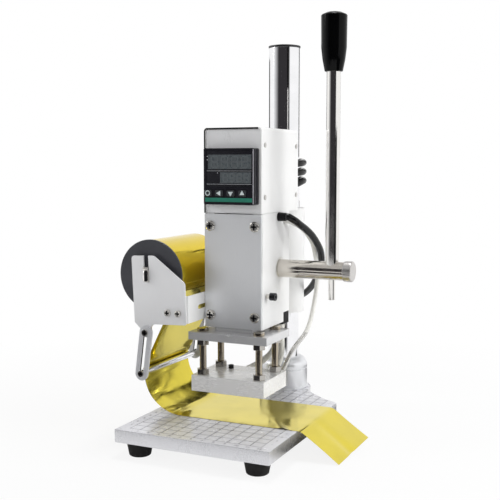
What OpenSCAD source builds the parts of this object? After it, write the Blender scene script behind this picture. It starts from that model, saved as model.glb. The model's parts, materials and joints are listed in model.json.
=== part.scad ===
// Hand-lever hot foil stamping press: heated block on a rack ram, head on a column, foil roll at the side.
// Frame: +X to the operator's right, +Y to the back, +Z up, floor at Z 0.

/* [Base] */
// Width of the base plate
base_w = 140; // [136:1:180]
// Distance from the head's front face to the base plate's front edge
base_front = 80.5; // [60:0.5:110]
// Distance from the head's front face to the base plate's back corners
base_back = 74.5; // [70:0.5:84]
// Thickness of the base plate
base_t = 11; // [9.5:0.5:16]
// Radius of the rounded tongue under the column
tongue_r = 27; // [26.5:0.5:34]
// Radius of the hollow flanks that run into the tongue
flank_r = 118; // [80:1:200]
// Height of a rubber foot
foot_h = 12.5; // [10:0.5:20]
// Radius of a rubber foot at its top
foot_top_r = 11; // [9:0.5:13]
// Radius of a rubber foot at the floor
foot_low_r = 9.2; // [7.5:0.1:9.5]
// Distance of the feet from the base plate's edges
foot_inset = 14; // [13.5:0.5:20]
// Radius of the screw hole in a foot
foot_screw_r = 2; // [1.5:0.1:2.5]
// Radius of a foot screw's head
foot_head_r = 4; // [3:0.1:4.5]
// Height of a foot screw's head
foot_head_h = 2.4; // [1.6:0.1:3.5]
// Depth of the recess for the screw head in a foot
foot_recess = 5; // [4:0.5:7]

/* [Column] */
// Radius of the column
column_r = 15; // [13:0.5:16]
// Height of the column above the table
column_h = 329.3; // [290:1:420]
// Wall of the hollow column
column_wall = 3; // [2:0.5:5]
// Solid length at the column's lower end
column_plug = 40; // [30:1:60]
// Distance of the column's axis from the head's front face
column_y = 115; // [114:0.5:125]
// Height of the cap's straight rim
cap_rim = 1.9; // [1:0.1:4]
// Height of the cap's dome above its rim
cap_rise = 1.5; // [0.8:0.1:4]
// Overhang of the cap over the column
cap_over = 0.3; // [0:0.1:0.4]
// Depth of the cap's plug in the column
cap_plug = 8; // [4:0.5:15]
// Radius of the column bolt
bolt_r = 4; // [3:0.5:5]
// Radius of the column bolt's head
bolt_head_r = 6.5; // [5.5:0.5:8]
// Height of the column bolt's head
bolt_head_h = 6; // [4:0.5:7]
// Length of bolt in the column
bolt_reach = 22; // [14:1:28]
// Radius of the column foot's barrel
barrel_r = 23.5; // [21:0.5:25]
// Height of the column foot's barrel
barrel_h = 22; // [15:0.5:30]
// Radius of the column foot's lower rim
rim_r = 24.4; // [24:0.1:26.5]
// Height of the column foot's lower rim
rim_h = 1.6; // [1:0.1:4]

/* [Head] */
// Width of the head block
head_w = 54.7; // [52:0.5:64]
// Depth of the head block with its front cover
head_d = 62.4; // [60:0.5:70]
// Height of the head block
head_h = 99.9; // [96:0.5:120]
// Height of the head block's underside above the table
head_rest = 76.6; // [66:0.5:90]
// Thickness of the front cover
cover_t = 2; // [1.5:0.5:3]
// Radius of the sleeve round the column
sleeve_r = 20; // [18.5:0.5:22]
// Height of the sleeve's lower end above the head's underside
sleeve_lift = -1; // [-3:0.2:8]
// Width of the web between block and sleeve
web_w = 24; // [16:1:32]
// Running clearance of the sleeve on the column
sleeve_gap = 0.06; // [0.02:0.01:0.1]
// Radius of a cover screw's shank
cover_screw_r = 2; // [1.5:0.1:2.2]
// Radius of a cover screw's head
cover_head_r = 4.5; // [3.5:0.1:4.8]
// Height of a cover screw's head
cover_head_h = 2.4; // [1.5:0.1:3]
// Distance of the cover screws from the block's sides
cover_screw_inset = 5; // [4.8:0.1:5.5]
// Distance of the cover screws from the block's top and bottom
cover_screw_rise = 10.8; // [8:0.2:14]
// Radius of a clamp bolt
clamp_r = 3; // [2.5:0.5:4]
// Radius of a clamp bolt's head
clamp_head_r = 5; // [4:0.5:6]
// Length of a clamp bolt's head
clamp_head_h = 5; // [3:0.5:5]
// Depth of the clamp seat on the sleeve
clamp_seat = 1.5; // [1:0.5:2]
// Distance between the clamp bolts
clamp_pitch = 40; // [30:1:50]

/* [Drive] */
// Height of the lever shaft's axis above the head's underside
axis_up = 49.9; // [46:0.1:56]
// Distance of the lever shaft's axis from the head's front face
axis_y = 41; // [40:0.1:44]
// Radius of the lever shaft
shaft_r = 8; // [7:0.5:9]
// Reach of the lever shaft to the end cap's shoulder
shaft_reach = 88; // [84:0.5:110]
// Wall of the shaft bushes
bush_wall = 2; // [1.5:0.5:2.5]
// Running clearance of the shaft in its bushes
bush_gap = 0.05; // [0.02:0.01:0.1]
// Gear module of pinion and rack
gear_module = 1.5; // [1.4:0.05:1.55]
// Teeth of the pinion
pinion_teeth = 18; // [18:1:18]
// Width of the pinion
pinion_w = 20; // [14:1:21]
// Play between pinion and rack teeth
backlash = 0.15; // [0.1:0.01:0.3]
// Width of the ram
ram_w = 36; // [32:0.5:38]
// Sliding clearance round the ram
ram_gap = 0.15; // [0.1:0.01:0.3]
// Distance of the ram's top below the head's top
ram_top_gap = 4.5; // [2:0.5:10]
// Length of the rack
rack_len = 52; // [46:1:60]
// Length of the return spring at rest
spring_len = 45; // [40:1:46]
// Mean radius of the return spring
spring_r = 4.2; // [3.8:0.1:4.4]
// Radius of the spring wire
wire_r = 0.6; // [0.4:0.05:0.7]
// Turns of the return spring
spring_turns = 9; // [6:1:11]
// Thickness of the spring's lug on the front cover
lug_h = 5; // [4:0.5:6]
// Radius of the lever rod
rod_r = 6; // [5:0.5:6.5]
// Height of the lever rod's top above the lever axis
rod_up = 198.8; // [150:0.1:240]
// Distance of the lever rod from the middle of the head
rod_x = 76.3; // [70:0.5:78]
// Radius of the lever rod's threaded end
stub_r = 3; // [2.5:0.5:4]
// Length of the lever rod's threaded end below the lever axis
stub_down = 25.5; // [12:0.5:30]
// Length of the knob
knob_len = 50; // [40:1:70]
// Depth of the lever rod in the knob
knob_bore = 28; // [15:1:32]
// Radius of the knob at its lower end
knob_low_r = 7.8; // [7.4:0.1:9]
// Radius of the knob at its top
knob_top_r = 11.2; // [10:0.1:14]
// Radius of the shaft's end cap
end_cap_r = 9; // [8.5:0.5:11]
// Length of the shaft's end cap
end_cap_len = 7.6; // [6:0.2:10]
// Radius of the spigot that carries the end cap
spigot_r = 5; // [4:0.5:6]

/* [Press] */
// Width of the upper plate
plate_w = 75; // [72:0.5:84]
// Depth of the upper plate
plate_d = 50.6; // [48:0.2:52]
// Thickness of the upper plate
plate_t = 7; // [6.5:0.5:9]
// Distance of the upper plate below the head's underside
plate_drop = 3.6; // [3.4:0.1:6]
// Middle of the plates behind the head's front face
press_y = 13.4; // [13:0.1:14]
// Width of the heater block
block_w = 69.5; // [66:0.5:76]
// Depth of the heater block
block_d = 49.6; // [46:0.2:51]
// Thickness of the heater block
block_t = 14; // [13:0.5:18]
// Free length of the studs between the plates
stud_free = 31.5; // [26:0.5:34]
// Radius of a stud
stud_r = 3; // [2.5:0.5:3]
// Distance between the studs from left to right
stud_pitch_x = 54; // [50:0.5:56]
// Distance between the studs from front to back
stud_pitch_y = 35; // [32:0.5:36]
// Width of a nut across its flats
nut_flats = 10; // [8:0.5:10]
// Height of a nut
nut_h = 5; // [3:0.5:6]
// Radius of a stud's head
stud_head_r = 5; // [4:0.5:5.5]
// Height of a stud's head
stud_head_h = 2.8; // [2:0.2:3]
// Radius of a cartridge heater
heater_r = 4; // [3:0.5:5]
// Length of a cartridge heater
heater_len = 42; // [30:1:44]
// Distance of the cartridge heaters from the middle
heater_x = 14; // [10:0.5:17]
// Radius of the sensor probe
probe_r = 2.2; // [1.5:0.1:2.5]
// Distance of the sensor probe from the middle
probe_x = 26; // [26:0.5:26]
// Radius of a ram screw
ram_screw_r = 3; // [2.5:0.5:3]
// Radius of a ram screw's head
ram_head_r = 5; // [4.5:0.1:5]
// Height of a ram screw's head
ram_head_h = 4; // [3:0.5:4]
// Distance between the ram screws
ram_screw_pitch = 20; // [16:1:22]

/* [Control box] */
// Depth of the control box
box_d = 82.4; // [80:0.5:90]
// Height of the control box
box_h = 73.3; // [68:0.5:90]
// Wall of the control box
box_wall = 1.5; // [1:0.1:2]
// Radius of the control box's upper edges
box_round = 3; // [2.5:0.1:6]
// Depth of the front panel behind the box's rim
panel_inset = 2; // [1:0.5:4]
// Side of the controller's square bezel
bezel = 48; // [47:0.5:49]
// Projection of the bezel from the front panel
bezel_t = 9; // [6:0.5:10]
// Height of the bezel's middle above the box's floor
bezel_up = 31.7; // [30:0.1:36]
// Depth of the controller behind the panel
case_d = 40; // [30:1:41]
// Width of a key
key_w = 7.6; // [6:0.1:8]
// Height of a key
key_h = 5.4; // [4:0.1:5.6]
// Distance between the keys
key_pitch = 10.9; // [9.5:0.1:11]
// Projection of a key from the bezel
key_proud = 0.8; // [0.6:0.1:1.2]
// Radius of a rivet's head
rivet_r = 2.2; // [1.5:0.1:3]
// Width of the mains inlet's flange
inlet_w = 30; // [28:0.5:31]
// Height of the mains inlet's flange
inlet_h = 50; // [48:0.5:54]

/* [Foil holder] */
// Thickness of the foil holder's sheet metal
sheet_t = 1.5; // [1:0.1:1.5]
// Lean of the side plates
plate_lean = 2.6; // [0:0.1:3]
// Height of the bracket strip
bracket_h = 23.5; // [20:0.5:26]
// Height of the bracket strip's lower edge above the head's underside
bracket_up = 6.9; // [4:0.1:10]
// Distance from the head's front face to the bracket's front flange
bracket_front = 30; // [29.5:0.1:33]
// Distance from the head's front face to the bracket's rear flange
bracket_rear = 62; // [61.5:0.1:62.3]
// Width of the bracket's adjusting slot
bracket_slot = 4.1; // [4.1:0.1:5]
// Radius of the foil roll's end flanges
flange_r = 31; // [28:0.5:34]
// Thickness of an end flange
flange_t = 2.6; // [2:0.1:3]
// Width of the foil
foil_w = 79.4; // [70:0.2:80]
// Front edge of the foil before the head's front face
foil_front = 22.6; // [22.4:0.1:23.4]
// Radius of the wound foil
foil_r = 30.5; // [24:0.5:33]
// Outer radius of the roll's core
core_r = 15; // [14:0.5:18]
// Wall of the roll's core
core_wall = 2.4; // [1.5:0.1:3]
// Radius of the roll's axle
axle_r = 5.5; // [5:0.1:6]
// Width across the flats at the axle's ends
axle_flat = 4.5; // [4:0.1:4.8]
// Length of the guide arm between its screws
arm_len = 37; // [34:0.5:40]
// Lean of the guide arm
arm_lean = 7.5; // [5:0.1:9]
// Width of a guide arm
arm_w = 12.5; // [10:0.5:14]
// Thickness of a guide arm
arm_t = 2; // [1.5:0.1:2.5]
// Radius of the guide rod
guide_r = 3; // [2.5:0.1:3.5]
// Radius of the small screws' shanks
small_screw_r = 1.5; // [1.2:0.1:1.5]
// Radius of the small screws' heads
small_head_r = 2.9; // [2.5:0.1:3.2]
// Height of the small screws' heads
small_head_h = 1.9; // [1.2:0.1:2.4]
// Slope of the foil's hanging end
tail_slope = 35; // [33:0.5:40]

/* [Leads] */
// Radius of the black lead
lead_r = 3.25; // [3:0.05:3.3]
// Radius of a lead gland
gland_r = 4; // [3.9:0.1:4]
// Length of a lead gland
gland_len = 7.5; // [7.5:0.5:7.5]
// Rise of the lead winding for each turn
winding_pitch = 8.7; // [8:0.1:9.2]
// Clear space between the winding and the column
winding_gap = 0.5; // [0.4:0.05:0.6]
// Radius of the sensor lead
sensor_r = 2; // [1.6:0.1:2]
// Radius of a heater lead
heater_lead_r = 2.75; // [2.2:0.05:2.8]

/* [Hidden] */
$fn = 64;

// Small clearances and cut overlaps
seat_gap = 0.05;
cut = 1;

// Heights
table_z = foot_h + base_t;
head_z = table_z + head_rest;
head_top = head_z + head_h;
sleeve_z = head_z + sleeve_lift;
box_gap = 0.2;
box_z = head_top + box_gap;
axis_z = head_z + axis_up;
plate_top = head_z - plate_drop;
plate_low = plate_top - plate_t;
block_top = plate_low - stud_free;
block_low = block_top - block_t;
block_mid = block_low + block_t / 2;

// Base plate
half_w = base_w / 2;
foot_x = half_w - foot_inset - 2;
foot_y = [-base_front + foot_inset, base_back - foot_inset];
foot_thread = 8;
waist_angle = 8.5;
column_top = table_z + column_h;

// Gears
pressure = 20;
pitch_r = gear_module * pinion_teeth / 2;
base_r = pitch_r * cos(pressure);
tip_r = pitch_r + gear_module;
root_r = pitch_r - 1.25 * gear_module;
tooth_pitch = PI * gear_module;
pitch_line = axis_y - pitch_r;
rack_tip = pitch_line + gear_module;
rack_root = pitch_line - 1.25 * gear_module;
pocket_r = tip_r + 0.6;

// Head
half_head = head_w / 2;
cover_screw_x = half_head - cover_screw_inset - 1.2;
cover_screw_len = 12;
channel_half = ram_w / 2 + ram_gap;
channel_back = rack_tip + ram_gap;
bush_r = shaft_r + bush_wall;
bush_end = half_head - 2.4;
bush_face = pinion_w / 2 + 1;
clamp_mid = (sleeve_z + head_top) / 2;
clamp_z = [clamp_mid - clamp_pitch / 2, clamp_mid + clamp_pitch / 2];
pad_w = 16;
wire_way_x = half_head - 8;
gib_t = 1.5;
gib_y = 11;
gib_up = 28.4;
gib_depth = 10;
gib_z = head_z + 16;
gib_len = 62;
gib_screw_r = 2;
gib_head_r = 3.4;
gib_head_h = 5.2;
gib_show = 3.6;
ram_front = cover_t + ram_gap;
ram_top = head_top - ram_top_gap;
groove_half = 6;
groove_back = 15.5;
spring_y = 8.6;
lug_z = axis_z - 28;
lug_half = 4.5;
lug_back = 13;
peg_r = spring_r - wire_r - 0.4;
peg_h = 5;

// Lever
shaft_start = -bush_end + 0.4;
rod_seat = 3;
rod_top = axis_z + rod_up - knob_bore;

// Press
studs = [for (x = [-1, 1], y = [-1, 1]) [x * stud_pitch_x / 2, press_y + y * stud_pitch_y / 2]];
press_back = press_y + block_d / 2;
stud_sink = 5.5;
probe_proud = 2.4;

// Control box
panel_y = panel_inset;
chassis_half = half_head - box_wall - 0.1;
back_y = box_d - 1.5;
bezel_z = box_z + bezel_up;
bezel_front = panel_y - bezel_t;
case_side = bezel - 3.5;
key_drop = 14.2;
key_start = -19.9;
key_well = 5;
lens_low = -9;
lens_high = 22;
lens_half = 21.4;
lens_t = 1.5;
rivet_y = [7, box_d - 5];
rivet_z = [box_z + 14, box_z + 58.3];
rivet_hole = 1.3;
tab_t = 1.2;
inlet_y = 57;
inlet_z = box_z + 36;
inlet_body_w = inlet_w - 4;
inlet_body_h = inlet_h - 5;
inlet_depth = 21;
inlet_flange = 2;
rocker_z = inlet_z + 14.5;
rocker_w = 19;
rocker_h = 12;
rocker_pin_r = 1.2;
rocker_pin = 1.4;
rocker_tilt = 7;
rocker_x = -half_head - inlet_flange + 1.5;

// Foil holder
arm_gap = 0.3;
pivot_x = -41.4;
pivot_z = head_z + 15.2;
side_front = -bracket_front - sheet_t;
side_rear = bracket_rear;
slot_x = -24.5;
slot_low = 26.5;
slot_w = axle_flat + 0.2;
roll_at = leaned([slot_x, slot_low + axle_r + 0.1]);
arm_at = leaned([-27, -17.3]);
rod_at = arm_at + arm_len * [-sin(arm_lean), -cos(arm_lean)];
arm_front = side_front - arm_t - arm_gap;
arm_rear = side_rear + sheet_t + arm_gap;
roll_y = -foil_front;
roll_back = roll_y + foil_w;
hub_r = core_r - core_wall - seat_gap;
hub_len = 12;
rear_flange_r = foil_r - 1;
bracket_screw_y = [14, 46];

// Foil web
web_t = 0.3;
web_gap = 0.3;
roll_clear = foil_r + web_gap + web_t / 2;
rod_clear = guide_r + web_gap + 0.1 + web_t / 2;
web_low = table_z + web_t / 2;
bend_r = 9;

// Overall box, whose lower middle is the part's origin
tail_run = bend_r * sin(tail_slope) + (web_low - bend_r * (1 - cos(tail_slope)) - web_t) / tan(tail_slope);
web_end = [half_w + tail_run, web_t];
x_low = roll_at[0] - flange_r;
x_high = half_w + tail_run + web_t / 2 * sin(tail_slope);
y_low = -base_front;
y_high = column_y + tongue_r;
origin = [(x_low + x_high) / 2, (y_low + y_high) / 2, 0];

// Leads, each point [x, y, height above the table]
gland_at = [half_head, 37, 172.6];
winding_r = column_r + winding_gap + lead_r;
winding_low = 202.5;
winding_from = -100;
winding_to = 900;
lead_in_drop = 8;
power_route = [
    [39.5, 39.3, 170.7], [42, 42.8, 168.2], [44.3, 47.5, 164.8], [47, 54, 160.6], [49.5, 62, 154.8],
    [51, 71, 147.2], [51.2, 80, 138.8], [48.5, 90, 129], [42.6, 101, 118.4], [34.2, 113, 107.6],
    [24, 125.5, 97.5], [13, 136, 89.8], [2, 141, 86], [-10, 140, 86.5], [-19.5, 133.5, 91.5],
    [-25, 124, 101.5], [-26, 116.5, 115.5], [-25.2, 113.5, 132], [-24.6, 112.5, 150], [-24.6, 111.5, 166],
    [-22.8, 107.4, 180], [-18, 102, 188.4]
];
sensor_route = [
    [half_head - 6, 50, 168], [half_head + 0.5, 50, 168], [31.5, 52, 167.4], [35, 56, 165.4], [38.6, 62, 161.8], [41.6, 68.6, 156],
    [43.6, 75.6, 149], [44.8, 79.6, 142], [45.3, 80.2, 138.5], [45.7, 80.8, 135], [46.1, 82, 131],
    [46.9, 83.8, 121], [47, 83, 110.5],
    [46.1, 80, 95.2], [44.2, 75, 77], [42, 68, 65], [38.3, 60, 57.2], [34.8, 52.6, 50],
    [31.8, 48.6, 42], [29.3, 47, 34.8], [27.2, 45.6, 30], [26, 43.4, 27.5]
];
heater_left = [[-12.5, 47, 28], [-6, 54, 31], [3.5, 59, 37], [11.5, 61, 46], [16.2, 59, 57], [17.5, 56.4, 66]];
heater_right = [[14.8, 45.5, 28], [18, 51, 31.5], [21.6, 53.8, 39], [23.4, 54.2, 49], [23.6, 53.7, 59], [23.6, 53.4, 67]];
heater_exit = [[17.6, 55.4], [23.6, 53.4]];
heater_sink = 2.5;
notch_x = 12.2;
notch_y = 49;
notch_h = 8.6;
grommet_drop = 2.4;

// Turns a point of a side plate's own outline by the plates' lean
function leaned(p) = [
    pivot_x + p[0] * cos(plate_lean) - p[1] * sin(plate_lean),
    pivot_z + p[0] * sin(plate_lean) + p[1] * cos(plate_lean)
];

// Sweep helpers for round tubes along a list of points
function unit(v) = v / norm(v);
function tangent(p, i) = unit(p[min(i + 1, len(p) - 1)] - p[max(i - 1, 0)]);
function square_to(t) = unit(cross(t, abs(t[2]) < 0.8 ? [0, 0, 1] : [1, 0, 0]));
function flat_to(n, t) = unit(n - (n * t) * t);
function normals(p, i = 0, done = []) = i == len(p)
    ? done
    : normals(p, i + 1, concat(done, [i == 0 ? square_to(tangent(p, 0)) : flat_to(done[i - 1], tangent(p, i))]));
function above_table(p) = [for (q = p) [q[0], q[1], q[2] + table_z]];
function least_gap(p, skip, r) =
    min([for (i = [0 : len(p) - 1 - skip], j = [i + skip : len(p) - 1]) norm(p[i] - p[j])]) - 2 * r;

module tube(p, r, sides) {
    n = normals(p);
    rings = len(p);
    last = (rings - 1) * sides;
    points = [for (i = [0 : rings - 1], k = [0 : sides - 1])
        p[i] + r * (cos(360 * k / sides) * n[i] + sin(360 * k / sides) * cross(tangent(p, i), n[i]))];
    walls = [for (i = [0 : rings - 2], k = [0 : sides - 1]) let (
        a = i * sides + k,
        b = i * sides + (k + 1) % sides
    ) each [[a, a + sides, b + sides], [a, b + sides, b]]];
    ends = [for (k = [1 : sides - 2]) each [[0, k, k + 1], [last, last + k + 1, last + k]]];
    polyhedron(points, concat(walls, ends));
}

// Extrusions of a flat outline
module across_y(y, t) {
    translate([0, y + t, 0])
        rotate([90, 0, 0])
            linear_extrude(t)
                children();
}

module across_x(x, t) {
    translate([x, 0, 0])
        rotate([90, 0, 90])
            linear_extrude(t)
                children();
}

// Round bars along X and Y from a start point
module bar_x(at, r, l) {
    translate(at)
        rotate([0, 90, 0])
            cylinder(r = r, h = l);
}

module bar_y(at, r, l) {
    translate(at)
        rotate([-90, 0, 0])
            cylinder(r = r, h = l);
}

module rounded_rect(w, h, r) {
    square([w - 2 * r, h], center = true);
    square([w, h - 2 * r], center = true);
    for (x = [-1, 1], y = [-1, 1])
        translate([x * (w / 2 - r), y * (h / 2 - r)])
            circle(r = r);
}

module stadium(l, r) {
    translate([-r, 0])
        square([2 * r, l]);
    for (y = [0, l])
        translate([0, y])
            circle(r = r);
}

// Base group
module base_outline() {
    corner = [half_w, base_back];
    waist = [tongue_r * cos(waist_angle), column_y - tongue_r * sin(waist_angle)];
    span = waist - corner;
    out = [span[1], -span[0]] / norm(span);
    flank = (corner + waist) / 2 + out * sqrt(flank_r * flank_r - span * span / 4);
    difference() {
        translate([-half_w, -base_front])
            square([base_w, base_front + column_y]);
        for (side = [-1, 1])
            translate([side * flank[0], flank[1]])
                circle(r = flank_r, $fn = 128);
    }
    translate([0, column_y])
        circle(r = tongue_r);
}

module base_plate() {
    color("silver")
        difference() {
            translate([0, 0, foot_h])
                linear_extrude(base_t)
                    base_outline();
            for (x = [-1, 1], y = foot_y)
                translate([x * foot_x, y, foot_h - cut])
                    cylinder(r = foot_screw_r, h = foot_thread + cut);
            translate([0, column_y, foot_h - cut]) {
                cylinder(r = bolt_head_r + 0.7, h = bolt_head_h + cut + 1);
                cylinder(r = bolt_r + 0.2, h = base_t + 2 * cut);
            }
        }
}

module rubber_feet() {
    color("black")
        for (x = [-1, 1], y = foot_y)
            translate([x * foot_x, y, 0])
                rotate_extrude()
                    polygon([
                        [foot_screw_r + 0.2, foot_h], [foot_top_r, foot_h], [foot_top_r, foot_h - 2],
                        [foot_low_r, 1], [foot_low_r - 1, 0], [foot_head_r + 0.6, 0],
                        [foot_head_r + 0.6, foot_recess], [foot_screw_r + 0.2, foot_recess]
                    ]);
}

module foot_screws() {
    color("silver")
        for (x = [-1, 1], y = foot_y)
            translate([x * foot_x, y, foot_recess - foot_head_h]) {
                cylinder(r = foot_head_r, h = foot_head_h);
                cylinder(r = foot_screw_r - seat_gap, h = foot_h - foot_recess + foot_head_h + foot_thread - 1);
            }
}

module column() {
    color("gainsboro")
        translate([0, column_y, table_z])
            difference() {
                cylinder(r = column_r, h = column_h);
                translate([0, 0, column_plug])
                    cylinder(r = column_r - column_wall, h = column_h);
                translate([0, 0, -cut])
                    cylinder(r = bolt_r, h = bolt_reach + 2 + cut);
            }
}

module column_bolt() {
    color("dimgray")
        translate([0, column_y, foot_h + 1]) {
            cylinder(r = bolt_head_r, h = bolt_head_h);
            cylinder(r = bolt_r - seat_gap, h = base_t - 1 + bolt_reach);
        }
}

module column_foot() {
    dome = barrel_r - column_r;
    color("whitesmoke")
        translate([0, column_y, table_z])
            rotate_extrude()
                difference() {
                    union() {
                        square([rim_r, rim_h]);
                        square([barrel_r, barrel_h]);
                        translate([column_r, barrel_h])
                            circle(r = dome);
                    }
                    translate([-barrel_r, 0])
                        square([barrel_r + column_r + seat_gap, barrel_h + dome + cut]);
                    translate([barrel_r - 0.5, barrel_h - 3])
                        square([cut, 0.8]);
                }
}

module column_cap() {
    cap_r = column_r + cap_over;
    ball = (cap_r * cap_r + cap_rise * cap_rise) / (2 * cap_rise);
    color("black")
        translate([0, column_y, column_top])
            rotate_extrude() {
                intersection() {
                    translate([0, cap_rim + cap_rise - ball])
                        circle(r = ball, $fn = 128);
                    square([cap_r, cap_rim + cap_rise + cut]);
                }
                translate([0, -cap_plug])
                    square([column_r - column_wall - seat_gap, cap_plug]);
            }
}

// Middle line of the foil from the roll, round the guide rod, over the table and down to the floor
function crossing(a, b, reach) = let (d = b - a, l = norm(d)) atan2(d[1], d[0]) + acos(reach / l);
function web_line() = let (
    steps = 8,
    lean = crossing(roll_at, rod_at, roll_clear + rod_clear),
    leave = roll_at + roll_clear * [cos(lean), sin(lean)],
    rod_angle = lean + 180,
    wrap = [for (i = [0 : 3]) let (a = rod_angle + (180 - rod_angle) * i / 3)
        rod_at + rod_clear * [cos(a), sin(a)]],
    sweep_r = rod_at[1] - web_low,
    sweep_x = rod_at[0] - rod_clear + sweep_r,
    sweep = [for (i = [1 : steps]) let (a = 180 + 90 * i / steps) [sweep_x, rod_at[1]] + sweep_r * [cos(a), sin(a)]],
    bend = [for (i = [0 : 4]) let (a = 90 - tail_slope * i / 4) [half_w, web_low - bend_r] + bend_r * [cos(a), sin(a)]]
) concat([leave], wrap, sweep, bend, [web_end]);

module foil_web() {
    line = web_line();
    last = len(line) - 1;
    side = [for (i = [0 : last]) let (d = unit(line[min(i + 1, last)] - line[max(i - 1, 0)])) [-d[1], d[0]] * web_t / 2];
    color("gold")
        across_y(roll_y, foil_w)
            polygon(concat(
                [for (i = [0 : last]) line[i] + side[i]],
                [for (i = [last : -1 : 0]) line[i] - side[i]]
            ));
}

// Head group
module head_housing() {
    color("white")
        difference() {
            union() {
                translate([-half_head, cover_t, head_z])
                    cube([head_w, head_d - cover_t, head_h]);
                translate([-web_w / 2, head_d - cut, sleeve_z])
                    cube([web_w, column_y - head_d, head_top - sleeve_z]);
                translate([0, column_y, sleeve_z])
                    cylinder(r = sleeve_r, h = head_top - sleeve_z);
                translate([-pad_w / 2, column_y, clamp_z[0] - pad_w / 2])
                    cube([pad_w, sleeve_r + clamp_seat, clamp_pitch + pad_w]);
            }
            translate([0, column_y, sleeve_z - cut])
                cylinder(r = column_r + sleeve_gap, h = head_h + 2 * cut);
            translate([-channel_half, 0, head_z - cut])
                cube([2 * channel_half, channel_back, head_h + 2 * cut]);
            translate([channel_half - cut, gib_y - gib_depth / 2, gib_z])
                cube([gib_t + cut, gib_depth, gib_len]);
            bar_x([-bush_face, axis_y, axis_z], pocket_r, 2 * bush_face);
            bar_x([-bush_end, axis_y, axis_z], bush_r + seat_gap, bush_end + half_head + cut);
            for (x = [-1, 1], z = [head_z + cover_screw_rise, head_top - cover_screw_rise])
                bar_y([x * cover_screw_x, 0, z], cover_screw_r, cover_screw_len + 2);
            bar_x([channel_half, gib_y, head_z + gib_up], gib_screw_r + seat_gap, half_head);
            for (z = clamp_z)
                bar_y([0, column_y, z], clamp_r, sleeve_r + clamp_seat + cut);
            for (y = bracket_screw_y)
                bar_x([-half_head - cut, y, bracket_mid_z()], cover_screw_r, 6 + cut);
            bar_x([wire_way_x, gland_at[1], table_z + gland_at[2]], lead_r + seat_gap, half_head - wire_way_x + cut);
            translate([wire_way_x, gland_at[1], table_z + gland_at[2]])
                cylinder(r = lead_r, h = head_h);
            bar_x([wire_way_x, sensor_route[0][1], table_z + sensor_route[0][2]], sensor_r + 0.2, half_head);
            translate([notch_x, notch_y, head_z - cut])
                cube([half_head, head_d - notch_y + cut, notch_h + cut]);
        }
}

function bracket_mid_z() = head_z + bracket_up + bracket_h / 2;

module front_cover() {
    color("darkgray")
        difference() {
            union() {
                translate([-half_head + 0.4, 0, head_z])
                    cube([head_w - 0.8, cover_t, head_h - 0.4]);
                translate([-lug_half, cover_t - seat_gap, lug_z])
                    cube([2 * lug_half, lug_back - cover_t, lug_h]);
                translate([0, spring_y, lug_z])
                    cylinder(r = peg_r, h = lug_h + peg_h);
            }
            for (x = [-1, 1], z = [head_z + cover_screw_rise, head_top - cover_screw_rise])
                bar_y([x * cover_screw_x, -cut, z], cover_screw_r + 0.2, cover_t + 2 * cut);
        }
}

module front_cover_screws() {
    color("silver")
        for (x = [-1, 1], z = [head_z + cover_screw_rise, head_top - cover_screw_rise])
            translate([x * cover_screw_x, 0, z])
                rotate([-90, 0, 0])
                    difference() {
                        union() {
                            translate([0, 0, -cover_head_h])
                                cylinder(r1 = cover_head_r - 0.9, r2 = cover_head_r, h = 0.9);
                            translate([0, 0, -cover_head_h + 0.9])
                                cylinder(r = cover_head_r, h = cover_head_h - 0.9);
                            cylinder(r = cover_screw_r - seat_gap, h = cover_screw_len);
                        }
                        for (a = [0, 90])
                            rotate([0, 0, a])
                                translate([-2.4, -0.5, -cover_head_h - cut])
                                    cube([4.8, 1, cut + 1.3]);
                    }
}

module shaft_bushes() {
    color("peru")
        for (ends = [[-bush_end, -bush_face], [bush_face, half_head]])
            difference() {
                bar_x([ends[0], axis_y, axis_z], bush_r, ends[1] - ends[0]);
                bar_x([ends[0] - cut, axis_y, axis_z], shaft_r + bush_gap, head_w);
            }
}

module gib_plate() {
    color("darkkhaki")
        translate([channel_half + seat_gap, gib_y - gib_depth / 2 + seat_gap, gib_z + seat_gap])
            cube([gib_t - 2 * seat_gap, gib_depth - 2 * seat_gap, gib_len - 2 * seat_gap]);
}

module gib_screw() {
    start = channel_half + gib_t;
    head_at = half_head + gib_show;
    color("black")
        difference() {
            union() {
                bar_x([start, gib_y, head_z + gib_up], gib_screw_r, head_at - start);
                bar_x([head_at, gib_y, head_z + gib_up], gib_head_r, gib_head_h);
            }
            translate([head_at + gib_head_h - 3, gib_y, head_z + gib_up])
                rotate([0, 90, 0])
                    cylinder(r = 1.7, h = 4, $fn = 6);
        }
}

module clamp_bolts() {
    start = column_y + column_r + 0.3;
    seat = column_y + sleeve_r + clamp_seat;
    color("black")
        for (z = clamp_z)
            difference() {
                union() {
                    bar_y([0, start, z], clamp_r - seat_gap, seat - start);
                    bar_y([0, seat, z], clamp_head_r, clamp_head_h);
                }
                translate([0, seat + clamp_head_h - 2.5, z])
                    rotate([-90, 0, 0])
                        cylinder(r = 2.8, h = 4, $fn = 6);
            }
}

// Control box group
module box_arch(w, h, r) {
    translate([-w / 2, 0])
        square([w, h - r]);
    translate([-w / 2 + r, 0])
        square([w - 2 * r, h]);
    for (x = [-1, 1])
        translate([x * (w / 2 - r), h - r])
            circle(r = r);
}

module control_box() {
    color("white")
        difference() {
            translate([0, 0, box_z])
                across_y(0, box_d)
                    difference() {
                        box_arch(head_w, box_h, box_round);
                        translate([0, -cut])
                            box_arch(head_w - 2 * box_wall, box_h - box_wall + cut, box_round - box_wall);
                    }
            for (y = rivet_y, z = rivet_z)
                bar_x([-half_head - cut, y, z], rivet_hole, head_w + 2 * cut);
            translate([-half_head - cut, inlet_y, inlet_z])
                rotate([90, 0, 90])
                    linear_extrude(box_wall + 2 * cut)
                        square([inlet_body_w + 0.4, inlet_body_h + 0.4], center = true);
        }
}

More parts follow.
